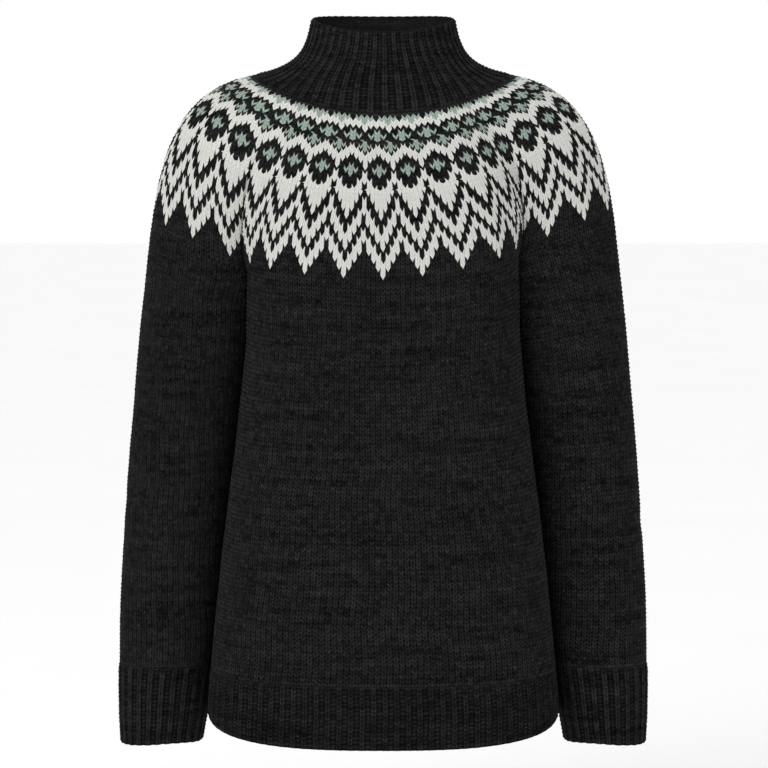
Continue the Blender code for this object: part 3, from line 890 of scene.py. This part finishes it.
def rising_quads(stitches):
    """Columns of quads of plain knitting where a leg rises to the right."""
    return np.arange(stitches * 4) % 4 >= 2


def plain_yarns(chance):
    """Charcoal for each face of the knitting, with a chance shade that is all over one stitch."""
    rows, stitches = chance.shape
    yarns = np.zeros((rows * 2, stitches * 4, 3))
    yarns[..., 2] = np.repeat(np.repeat(chance, 2, axis=0), 4, axis=1)
    return yarns


def tube_height(seam, level, join, share):
    """Heights up a tube, level with its seam below and bent to the join above."""
    return seam + (level - seam) * share + (join - level) * np.maximum(share, 0.0) ** BEND_POWER


def pressed_in(tube, angle, height, share, seed, around, size):
    """How far worn cloth is pressed in by folds and ripples, fading to its seams."""
    fade = np.sin(np.pi * np.clip(share, 0.0, 1.0))
    pressed = fold_depth(tube, angle, height) * fade
    return (pressed + ripple(seed, around, height, size) * fade)[..., None]


def ring_angle(turn, angles):
    """The angle at each turn round a ring, from angles that split one turn evenly."""
    return np.interp(turn - np.floor(turn), np.linspace(0.0, 1.0, len(angles)), angles)


def chart_yarn(stitches, column, row):
    """The yarn of one stitch of the yoke. Column 0 is the middle of a point."""
    from_point = abs(wrap(column, stitches // 2))
    if stitches == REPEAT_STITCHES:
        passed = sum(row >= change for change in ZIGZAG_CHANGES[from_point])
        return YARNS["DW"[passed % 2]]
    band, chart = (YOKE_BANDS[1], LOZENGE_CHART) if stitches == 6 else (YOKE_BANDS[2], SPRIG_CHART)
    return YARNS[chart[from_point][row - band.first]]


def add(tree, kind, settings=None, inputs=None):
    """One node with its settings, its values and its links."""
    node = tree.nodes.new(kind)
    for name, value in (settings or {}).items():
        setattr(node, name, value)
    for socket, value in (inputs or {}).items():
        if isinstance(value, bpy.types.NodeSocket):
            tree.links.new(value, node.inputs[socket])
        else:
            node.inputs[socket].default_value = value
    return node


def colour_of(value, share=1.0):
    """A colour for a node, at a share of its brightness."""
    return (value[0] * share, value[1] * share, value[2] * share, 1.0)


def knitted_wool(context, patterned=False):
    """Heavy carded wool, spun in two plies and knitted: matt, with a halo of loose fibres.

    Light fibres carded into the charcoal make it heathered. The yarns' masks choose the colour.
    """
    name = "stranded_wool_knitted" if patterned else "heather_charcoal_wool_knitted"
    wool = context.scene.sweater_wool
    material = bpy.data.materials.get(name)
    if material:
        return material
    material = bpy.data.materials.new(name)
    material.use_nodes = True
    tree = material.node_tree
    tree.nodes.clear()
    place = add(tree, "ShaderNodeTexCoord").outputs["Object"]
    knit = add(tree, "ShaderNodeUVMap", {"uv_map": "knit"}).outputs["UV"]
    yarn = add(tree, "ShaderNodeAttribute", {"attribute_name": "yarn"}).outputs["Color"]
    white, green, chance = add(tree, "ShaderNodeSeparateColor", None, {0: yarn}).outputs
    # Painted shade of the hollows between stitches.
    cavity_shade = add(tree, "ShaderNodeAttribute", {"attribute_name": "cavity_shade"}).outputs["Fac"]
    noises = []
    for where, scale, detail, roughness in (
        # Fibres lie along the yarn: 6 across a stitch's width, coarse enough to show.
        (knit, (6.0, 1.6, 1.0), 3.0, 0.65),
        # Heather: patches of about 3 mm, longer along the rows than across them.
        (place, (120.0, 120.0, 330.0), 4.0, 0.7),
        # Rows differ a little from one another, over 60 mm and more along each.
        (place, (14.0, 14.0, 150.0), 2.0, 0.5),
        # Flecks of light fibre, 1 to 2 mm long.
        (place, (380.0, 380.0, 760.0), 2.0, 0.6),
    ):
        scaled = add(tree, "ShaderNodeMapping", None, {"Vector": where, "Scale": scale})
        noise = add(tree, "ShaderNodeTexNoise", None, {
            "Vector": scaled.outputs[0], "Scale": 1.0, "Detail": detail, "Roughness": roughness,
        })
        noises.append(noise.outputs["Fac"])
    fibre, heather, banding, fleck = noises
    # The charcoal goes from almost black to mid grey with heather, row and stitch, with painted
    # shade on purl columns and painted light inside ribs.
    shade = -0.48
    for part, weight in ((heather, 0.9), (banding, 0.6), (chance, 0.3)):
        values = {0: part, 1: weight, 2: shade}
        shade = add(tree, "ShaderNodeMath", MULTIPLY_ADD, values).outputs[0]
    values = {0: shade, 6: colour_of(wool.charcoal, 0.25), 7: colour_of(wool.charcoal, 4.1)}
    colour = add(tree, "ShaderNodeMix", RGBA, values).outputs[2]
    flecks = add(tree, "ShaderNodeMapRange", None, {0: fleck, 1: 0.66, 2: 0.84}).outputs[0]
    values = {0: flecks, 6: colour, 7: colour_of(wool.fleck)}
    colour = add(tree, "ShaderNodeMix", RGBA, values).outputs[2]
    if patterned:
        # The light yarns are undyed and dyed fleece without heather, streaked by their fibres.
        streaks = add(tree, "ShaderNodeMath", MULTIPLY_ADD, {0: fibre, 1: 0.5, 2: 0.25}).outputs[0]
        for mask, tint, deep, bright in (
            (white, wool.off_white, 0.86, 1.08),
            (green, wool.pale_green, 0.8, 1.15),
        ):
            values = {0: streaks, 6: colour_of(tint, deep), 7: colour_of(tint, bright)}
            streaked = add(tree, "ShaderNodeMix", RGBA, values).outputs[2]
            values = {0: mask, 6: colour, 7: streaked}
            colour = add(tree, "ShaderNodeMix", RGBA, values).outputs[2]
    # Painted shade darkens the colour between the stitches, where little light gets down, less so
    # in the light yarns.
    light_yarn = add(tree, "ShaderNodeMath", MULTIPLY_ADD, {0: green, 1: 0.6, 2: white}).outputs[0]
    keep = add(tree, "ShaderNodeMath", MULTIPLY_ADD, {0: light_yarn, 1: 0.57, 2: 0.08}).outputs[0]
    shadow = add(tree, "ShaderNodeMix", None, {0: cavity_shade, 2: 1.0, 3: keep}).outputs[0]
    scale = {"operation": "SCALE"}
    shaded = add(tree, "ShaderNodeVectorMath", scale, {0: colour, "Scale": shadow}).outputs[0]
    # Fibres stand 0.5 mm out of the yarn.
    values = {"Strength": 0.7, "Distance": 0.0005, "Height": fibre}
    bump = add(tree, "ShaderNodeBump", None, values).outputs[0]
    # The halo of loose fibres catches light at a glancing angle, so there is sheen and no gloss.
    shader = add(tree, "ShaderNodeBsdfPrincipled", None, {
        "Base Color": shaded,
        "Roughness": 0.95,
        "Specular IOR Level": 0.02,
        "Sheen Weight": 0.025,
        "Sheen Roughness": 0.3,
        "Sheen Tint": (0.8, 0.8, 0.8, 1.0),
        "Normal": bump,
    })
    add(tree, "ShaderNodeOutputMaterial", None, {"Surface": shader.outputs[0]})
    return material


def declare(piece, node):
    """Hides the part that a piece stands for and makes the piece move with the root."""
    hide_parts(node)
    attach(piece, "root")


def lip(outer, inner, beyond):
    """Three lines of vertices round a free edge, from its outer line to its inner one."""
    middle = (outer + inner) / 2
    radius = (outer - inner) / 2
    reach = unit(beyond) * np.linalg.norm(radius, axis=-1, keepdims=True) * LIP_FULLNESS
    return np.stack([middle + radius * math.cos(a) + reach * math.sin(a) for a in LIP_TURNS])


def body_half(name, first_column, context):
    """The front or back half of the body, from the hem rib up to the yoke."""
    knit = context.scene.sweater_knit
    stitches = BODY_STITCHES // 2
    seed = BODY_SEED + int(first_column)

    def point_at(column, row):
        share = row / BODY_ROWS
        drag = body_shift(column) * np.maximum(share, 0.0) ** DRAG_POWER
        angle, join = body_column(column + drag)
        height = tube_height(hem_seam(angle), JOIN_FRONT, join, share)
        points = body_point(angle, height)
        out = unit(points * np.array([1.0, 1.0, 0.0]))
        around = column * BODY_STITCH_WIDTH
        return points - out * pressed_in(
            "body", angle, height, share, RIPPLE_SEED, around, BODY_RIPPLE,
        )

    cloth = Cloth()
    outer, cavity_shade, columns, lines = knit_face(
        point_at, first_column, stitches, 0, BODY_ROWS, knit, seed, ("seam", "join"),
    )
    outside = cloth.add_points(outer, cavity_shade)
    yarns = plain_yarns(even_chance(seed + 5, BODY_ROWS, stitches))
    cloth.add_quads(outside, columns, lines, yarns, rising_quads(stitches))
    across = columns[::4]
    rows = lines[::2]
    inside = cloth.add_inside(point_at, across, rows, knit.wall / MM, across, ring=False)
    cloth.zip_lines(outside[-1], inside[-1])
    cloth.zip_lines(inside[0], outside[0])
    cloth.zip_lines(outside[:, 0], inside[:, 0])
    cloth.zip_lines(inside[:, -1], outside[:, -1])
    piece = cloth.make(name, knitted_wool(context))
    declare(piece, "body")
    return piece


def ribbed_band(name, point_at, rib, top_free, context, mirror=False):
    """A ring of ribbing. Its rows are counted from its lower edge and its ribs round it."""
    knit = context.scene.sweater_knit
    wall = knit.wall / MM
    seed = RIB_SEED + rib.count + rib.rows
    chance = np.random.default_rng(seed)
    count = rib.count * 8
    columns = np.arange(count + 1) / 8.0 - 0.25 + rib.phase
    lines = stitch_lines(0, rib.rows)
    phase = np.arange(count) % 8
    is_on = (np.arange(len(lines)) % 2 == 1)[:, None]
    from_end = np.minimum(lines, rib.rows - lines)
    from_free, from_seam = (rib.rows - lines, lines) if top_free else (lines, rib.rows - lines)
    slant = RIB_SLANT[phase] * knit.slant * RIB_SLANT_SHARE * grown(from_end)
    shifts = row_faults(seed, len(lines), RIB_UNEVENNESS.rows * knit.uneven)
    up = (lines + shifts)[:, None] + slant
    drift = wander(chance, lines, from_end, RIB_UNEVENNESS)
    across = columns[:-1] + drift * knit.uneven
    height = np.repeat(chance.uniform(*RIB_HEIGHTS, (1, rib.count)), 8, axis=1)
    raised = RIB_RAISED[phase] * height * rib.depth * knit.rib_height / MM
    raised = raised * grown(from_seam, *RIB_FROM_SEAM) * grown(from_free, *RIB_FROM_FREE)
    relief = np.where(is_on, RIB_ON[phase], RIB_OFF[phase])
    differs = (chance.random((len(lines), count)) - 0.5) * RIB_UNEVENNESS.relief * knit.uneven
    relief = relief * (1.0 + differs)
    # Painted shade in the hollows of the ribbing, less deep at a seam.
    cavity_shade = RIB_CAVITY_SHADE_BASE - RIB_CAVITY_SHADE_FALL * rib.depth + RIB_CAVITY_SHADE[phase] * rib.depth
    cavity_shade = np.clip(cavity_shade - RIB_CAVITY_SHADE_RELIEF * relief, 0.0, 1.0)
    rest = (cavity_shade - RIB_CAVITY_SHADE_AT_SEAM) * grown(from_seam, *RIB_CAVITY_SHADE_FROM_SEAM)
    cavity_shade = RIB_CAVITY_SHADE_AT_SEAM + rest
    relief = raised + relief * knit.stitch_height / MM
    points, outward = surface(point_at, across, up)
    outer = points + outward * relief[..., None]
    cloth = Cloth()
    outside = closed_ring(cloth.add_points(outer, cavity_shade))
    yarns = plain_yarns(chance.random((rib.rows, rib.count * 2)))
    # Painted shade on the sunk purl columns.
    yarns[:, phase >= 4, 2] *= PURL_SHADE
    cloth.add_quads(outside, columns * 2, lines, yarns, (phase == 2) | (phase == 3))
    behind_ribs = RIB_RAISED[np.append(phase, 0)[::2]][:, None] * RIB_BACK_RELIEF
    # Painted light: the insides of the ribs get the lightest charcoal.
    inside = cloth.add_inside(
        point_at, columns[::2], lines[::2], wall - behind_ribs, columns[::2] * 2, RIB_INSIDE_PAINTED_LIGHT,
    )
    edge, inwards = (-1, -1.0) if top_free else (0, 1.0)
    beyond = points[edge] - point_at(across[edge], up[edge] + inwards)
    rim = cloth.add_points(lip(outer[edge], (points - outward * wall)[edge], beyond))
    rim = closed_ring(rim)
    if top_free:
        edge_rows = np.concatenate([outside[-1:], rim])
        cloth.add_quads(edge_rows, columns * 2, rib.rows + LIP_ROWS, PLAIN)
        cloth.zip_lines(rim[-1], inside[-1])
        cloth.zip_lines(inside[0], outside[0])
    else:
        edge_rows = np.concatenate([rim[::-1], outside[:1]])
        cloth.add_quads(edge_rows, columns * 2, -LIP_ROWS[::-1], PLAIN)
        cloth.zip_lines(inside[0], rim[-1])
        cloth.zip_lines(outside[-1], inside[-1])
    return cloth.make(name, knitted_wool(context), mirror)


def yarn_colour(name, description, colour):
    """A property for the colour of a yarn."""
    return FloatVectorProperty(
        name=name, description=description,
        subtype="COLOR", size=3, min=0.0, max=1.0, default=linear(colour),
    )


class SweaterWool(bpy.types.PropertyGroup):
    """Colours of the yarns"""

    charcoal: yarn_colour("Charcoal", "Mean colour of the heathered charcoal yarn", "#1e1e1e")
    fleck: yarn_colour("Fleck", "Light fibres carded into the charcoal", "#7a7a7a")
    off_white: yarn_colour("Off-white", "Colour of the undyed yarn in the yoke", "#e0e0db")
    pale_green: yarn_colour("Pale green", "Colour of the accent yarn in the yoke", "#a6b8ac")


class SweaterKnit(bpy.types.PropertyGroup):
    """Sizes of the knitting"""

    stitch_height: FloatProperty(
        name="Stitch relief", description="How far a stitch's legs stand out of the cloth",
        **DISTANCE, min=0.0, max=0.002, default=0.00055,
    )
    slant: FloatProperty(
        name="Leg slant", description="How far a stitch's legs climb, in rows",
        min=0.0, max=1.5, default=1.1,
    )
    rib_height: FloatProperty(
        name="Rib height", description="How far a rib stands out of the band",
        **DISTANCE, min=0.0, max=0.004, default=0.0016,
    )
    wall: FloatProperty(
        name="Cloth thickness", description="From the middle of the stitches to the inside",
        **DISTANCE, min=0.001, max=0.004, default=0.0026,
    )
    uneven: FloatProperty(
        name="Unevenness", description="How much stitches and rows differ, 0 for none",
        min=0.0, max=2.0, default=1.0,
    )


class SweaterStudio(bpy.types.PropertyGroup):
    """Camera, light and floor"""

    distance: FloatProperty(
        name="Camera distance", description="From the camera to the middle of the sweater",
        **DISTANCE, min=0.5, max=20.0, default=3.0,
    )
    elevation: FloatProperty(
        name="Camera elevation", description="How far the camera looks down",
        subtype="ANGLE", unit="ROTATION", min=0.0, max=1.5, default=math.radians(4.0),
    )
    lens: FloatProperty(
        name="Lens", description="Focal length on a 36 mm sensor, in millimetres",
        min=20.0, max=400.0, default=140.625,
    )
    daylight: FloatProperty(
        name="Daylight", description="Strength of the even light from all round",
        min=0.0, max=10.0, default=1.0,
    )
    key: FloatProperty(
        name="Key light", description="Power of the large soft light above the camera",
        subtype="POWER", unit="POWER", min=0.0, max=1000.0, default=30.0,
    )


class SWEATER_OT_collar(bpy.types.Operator):
    """Knit the high ribbed collar"""

    bl_idname = "sweater.collar"
    bl_label = "Collar"

    def execute(self, context):
        sweep = collar_sweep()

        def point_at(rib, row):
            return sweep(rib / COLLAR_RIB.count, 1.0 - row / COLLAR_RIB.rows)

        piece = ribbed_band("collar_knit", point_at, COLLAR_RIB, True, context)
        declare(piece, "collar")
        return {"FINISHED"}


class SWEATER_OT_yoke(bpy.types.Operator):
    """Knit the patterned yoke in its three bands"""

    bl_idname = "sweater.yoke"
    bl_label = "Yoke"

    def execute(self, context):
        knit = context.scene.sweater_knit
        sweep = yoke_sweep()

        def point_at(place, row):
            share = np.interp(row, YOKE_ROW_MARKS, YOKE_ROW_SHARES)
            below_foot = np.minimum(row - YOKE_ROW_MARKS[0], 0.0)
            share = share + below_foot * YOKE_ROW_SHARES[1] / PLAIN_FOOT_ROWS
            shifted = place + yoke_shift(place) - YOKE_TWIST * share ** 2
            return sweep(shifted / REPEATS, 1.0 - share)

        cloth = Cloth()
        below = None
        for number, band in enumerate(YOKE_BANDS):
            stitches = band.stitches * REPEATS
            ends = ("band" if number else "join", "band" if number < 2 else "seam")

            def band_at(column, row, stitches=band.stitches):
                return point_at(column / stitches, row)

            outer, cavity_shade, columns, lines = knit_face(
                band_at, -0.5, stitches, band.first, band.last, knit, YOKE_SEED + number, ends,
            )
            numbers = closed_ring(cloth.add_points(outer[:, :-1], cavity_shade[:, :-1]))
            chance = even_chance(YOKE_SEED + 10 + number, band.last - band.first, stitches)
            yarns = plain_yarns(chance)
            for row in range(band.last - band.first):
                for column in range(stitches):
                    yarn = chart_yarn(band.stitches, column, band.first + row)
                    yarns[2 * row:2 * row + 2, 4 * column:4 * column + 4, :2] = yarn
            cloth.add_quads(numbers, columns, lines, yarns, rising_quads(stitches))
            if below is None:
                foot = numbers[0]
            else:
                cloth.zip_lines(below, numbers[0], last_yarns)
            below = numbers[-1]
            last_yarns = yarns[-1]
        # Floats of the second yarn cross the inside above the plain rows at the foot.
        across = np.arange(REPEATS * 6 + 1) / 6
        rows = np.arange(YOKE_ROW_MARKS[0], YOKE_ROW_MARKS[-1] + 1.0)
        floats = even_chance(YOKE_SEED + 30, len(rows) - 1, len(across) - 1)
        yarns = np.zeros(floats.shape + (3,))
        patterned = slice(PLAIN_FOOT_ROWS, None)
        yarns[patterned, :, 0] = (floats[patterned] > FLOAT_CHANCE) * FLOAT_WHITE
        yarns[..., 2] = floats
        inside = cloth.add_inside(point_at, across, rows, knit.wall / MM, across * 6, yarns)
        cloth.zip_lines(below, inside[-1])
        cloth.zip_lines(inside[0], foot)
        piece = cloth.make("yoke_knit", knitted_wool(context, patterned=True))
        declare(
            piece, "yoke",
        )
        return {"FINISHED"}


class SWEATER_OT_body(bpy.types.Operator):
    """Knit the plain body, as a front and a back half"""

    bl_idname = "sweater.body"
    bl_label = "Body"

    def execute(self, context):
        half = BODY_STITCHES / 4
        body_half("body_front_knit", -half - 0.5, context)
        body_half("body_back_knit", half - 0.5, context)
        return {"FINISHED"}


class SWEATER_OT_hem(bpy.types.Operator):
    """Knit the ribbed hem"""

    bl_idname = "sweater.hem"
    bl_label = "Hem"

    def execute(self, context):
        angles = split_evenly(lambda angle: body_point(angle, HEM_SEAM), HEM_STEPS, 0.0, math.tau)

        def point_at(rib, row):
            angle = ring_angle(rib / HEM_RIB.count, angles)
            end = HEM_END + LIP_ROOM + HEM_SIDE_LIFT * np.sin(angle) ** 4
            end = end - HEM_END_SAG * np.cos(angle) ** 2
            return body_point(angle, end + (hem_seam(angle) - end) * row / HEM_RIB.rows)

        piece = ribbed_band("hem_knit", point_at, HEM_RIB, False, context)
        declare(piece, "hem_rib")
        return {"FINISHED"}


class SWEATER_OT_sleeves(bpy.types.Operator):
    """Knit both sleeves, narrowing along the seam under the arm"""

    bl_idname = "sweater.sleeves"
    bl_label = "Sleeves"

    def execute(self, context):
        for side, seed in SLEEVE_SEEDS.items():
            self.knit_sleeve(side, seed, context)
        return {"FINISHED"}

    def knit_sleeve(self, side, seed, context):
        knit = context.scene.sweater_knit
        half_top = SLEEVE_STITCHES / 2
        half_wrist = WRIST_STITCHES / 2

        def half_stitches(row):
            """Stitches from the outer middle to the seam, fewer towards the wrist."""
            span = SLEEVE_TAPER_END - SLEEVE_TAPER_START
            share = np.clip((row - SLEEVE_TAPER_START) / span, 0.0, 1.0)
            return half_wrist + (half_top - half_wrist) * share

        def point_at(column, row):
            column = column * half_top / half_stitches(row)
            share = row / SLEEVE_ROWS
            drag = sleeve_shift(side, column) * np.maximum(share, 0.0) ** DRAG_POWER
            angle, join = sleeve_column(side, column + drag)
            height = tube_height(CUFF_SEAM, UNDERARM_HEIGHT[side], join, share)
            points = sleeve_point(angle, height)
            ring = ring_at(SLEEVE_FORM, height)
            middle = ring.outer / 2 + ring.inner / 2
            out = unit(points - np.stack([middle, ring.centre_y, height], axis=-1))
            around = angle * SLEEVE_RADIUS
            return points - out * pressed_in(
                side, angle, height, share, seed, around, SLEEVE_RIPPLE,
            )

        cloth = Cloth()
        outer, cavity_shade, columns, lines = knit_face(
            point_at, -half_top, SLEEVE_STITCHES, 0, SLEEVE_ROWS, knit, seed, ("seam", "join"),
        )
        # Vertices past the seam become the seam's own vertex of their line.
        half_lines = half_stitches(lines)[:, None]
        numbers = np.arange(cavity_shade.size).reshape(cavity_shade.shape)
        numbers = np.where(np.abs(columns) >= half_lines - SEAM_REACH, numbers[:, :1], numbers)
        seam_points, seam_out = surface(point_at, half_lines, lines[:, None])
        outer[:, 0] = (seam_points - seam_out * SEAM_SINK)[:, 0]
        outside = cloth.add_used_points(outer, cavity_shade, numbers)
        yarns = plain_yarns(even_chance(seed + 5, SLEEVE_ROWS, SLEEVE_STITCHES))
        cloth.add_quads(outside, columns, lines, yarns, rising_quads(SLEEVE_STITCHES))
        stitches = columns[::4]
        across = stitches / half_top * half_stitches(lines[::2])[:, None]
        inside = cloth.add_inside(point_at, across, lines[::2], knit.wall / MM, stitches)
        cloth.zip_lines(outside[-1], inside[-1])
        first = outside[0]
        cloth.zip_lines(inside[0], np.append(first[:-1][np.diff(first) != 0], first[-1]))
        node = "sleeve_" + side
        piece = cloth.make(node + "_knit", knitted_wool(context), side == "right")
        declare(piece, node)
        return piece


class SWEATER_OT_cuffs(bpy.types.Operator):
    """Knit both ribbed cuffs"""

    bl_idname = "sweater.cuffs"
    bl_label = "Cuffs"

    def execute(self, context):
        angles = split_evenly(
            lambda angle: sleeve_point(math.pi / 2 - angle, CUFF_SEAM), CUFF_STEPS, 0.0, math.tau,
        )

        def point_at(rib, row):
            angle = ring_angle(rib / CUFF_RIB.count, angles)
            end = CUFF_END + LIP_ROOM - CUFF_OUTER_DROP * np.sin(angle)
            end = end - CUFF_INNER_DROP * np.maximum(-np.sin(angle), 0.0) ** 2
            return sleeve_point(math.pi / 2 - angle, end + (CUFF_SEAM - end) * row / CUFF_RIB.rows)

        for side in ("left", "right"):
            node = "cuff_" + side
            piece = ribbed_band(node + "_knit", point_at, CUFF_RIB, False, context, side == "right")
            declare(piece, node)
        return {"FINISHED"}


def put(context, name, data, place, turn):
    """Places the camera or a light in the scene."""
    item = bpy.data.objects.new(name, data)
    item.location = place
    item.rotation_euler = turn
    context.scene.collection.objects.link(item)
    return item


class SWEATER_OT_studio(bpy.types.Operator):
    """Set up the pale floor, the soft light and the camera"""

    bl_idname = "sweater.studio"
    bl_label = "Studio"

    def execute(self, context):
        studio = context.scene.sweater_studio
        scene = context.scene
        scene.view_settings.view_transform = "Standard"
        bpy.ops.object.select_all(action="DESELECT")
        bpy.ops.mesh.primitive_plane_add(size=FLOOR_SIZE, location=(0.0, 0.0, FLOOR_HEIGHT))
        bpy.ops.object.transform_apply(location=True)
        floor = context.active_object
        floor.name = "floor"
        material = bpy.data.materials.new("painted_studio_floor")
        material.use_nodes = True
        shader = material.node_tree.nodes["Principled BSDF"]
        # Matt white paint with a faint unevenness, as a roller leaves it.
        tree = material.node_tree
        place = add(tree, "ShaderNodeTexCoord").outputs["Object"]
        noise = add(tree, "ShaderNodeTexNoise", None, {"Vector": place, "Scale": 3.0})
        shades = {6: (0.93, 0.93, 0.93, 1.0), 7: (0.96, 0.96, 0.96, 1.0)}
        tint = add(tree, "ShaderNodeMix", RGBA, {0: noise.outputs["Fac"], **shades})
        tree.links.new(tint.outputs[2], shader.inputs["Base Color"])
        shader.inputs["Roughness"].default_value = 0.9
        shader.inputs["Specular IOR Level"].default_value = 0.1
        floor.data.materials.append(material)

        world = bpy.data.worlds.new("studio_light")
        world.use_nodes = True
        background = world.node_tree.nodes["Background"]
        background.inputs["Color"].default_value = (1.0, 1.0, 1.0, 1.0)
        background.inputs["Strength"].default_value = studio.daylight
        scene.world = world

        # A large square soft box above the camera faces the middle of the sweater.
        data = bpy.data.lights.new("key", "AREA")
        data.shape = "SQUARE"
        data.size = KEY_SIZE
        data.energy = studio.key
        x, y, z = KEY_PLACE - KEY_TARGET
        turn = (math.pi / 2 - math.atan2(z, math.hypot(x, y)), 0.0, math.atan2(x, -y))
        put(context, "key", data, KEY_PLACE, turn)

        way = np.array([0.0, -math.cos(studio.elevation), math.sin(studio.elevation)])
        data = bpy.data.cameras.new("camera")
        data.lens = studio.lens
        data.sensor_width = 36.0
        data.clip_end = 200.0
        place = CAMERA_TARGET + way * studio.distance
        turn = (math.pi / 2 - studio.elevation, 0.0, 0.0)
        scene.camera = put(context, "camera", data, place, turn)
        return {"FINISHED"}


PIECES = (
    SWEATER_OT_collar,
    SWEATER_OT_yoke,
    SWEATER_OT_body,
    SWEATER_OT_sleeves,
    SWEATER_OT_hem,
    SWEATER_OT_cuffs,
    SWEATER_OT_studio,
)


class SWEATER_PT_panel(bpy.types.Panel):
    """The sweater's settings and pieces"""

    bl_idname = "SWEATER_PT_panel"
    bl_label = "Sweater"
    bl_space_type = "VIEW_3D"
    bl_region_type = "UI"
    bl_category = "Sweater"

    def draw(self, context):
        layout = self.layout
        scene = context.scene
        for group in (scene.sweater_wool, scene.sweater_knit, scene.sweater_studio):
            column = layout.column(align=True)
            for name in group.__annotations__:
                column.prop(group, name)
        for piece in PIECES:
            layout.operator(piece.bl_idname)


CLASSES = (SweaterWool, SweaterKnit, SweaterStudio, SWEATER_PT_panel) + PIECES


def register():
    for item in CLASSES:
        bpy.utils.register_class(item)
    bpy.types.Scene.sweater_wool = PointerProperty(type=SweaterWool)
    bpy.types.Scene.sweater_knit = PointerProperty(type=SweaterKnit)
    bpy.types.Scene.sweater_studio = PointerProperty(type=SweaterStudio)


def unregister():
    del bpy.types.Scene.sweater_studio
    del bpy.types.Scene.sweater_knit
    del bpy.types.Scene.sweater_wool
    for item in reversed(CLASSES):
        bpy.utils.unregister_class(item)


def main():
    register()
    for piece in PIECES:
        area, name = piece.bl_idname.split(".")
        getattr(getattr(bpy.ops, area), name)()


if __name__ == "__main__":
    main()
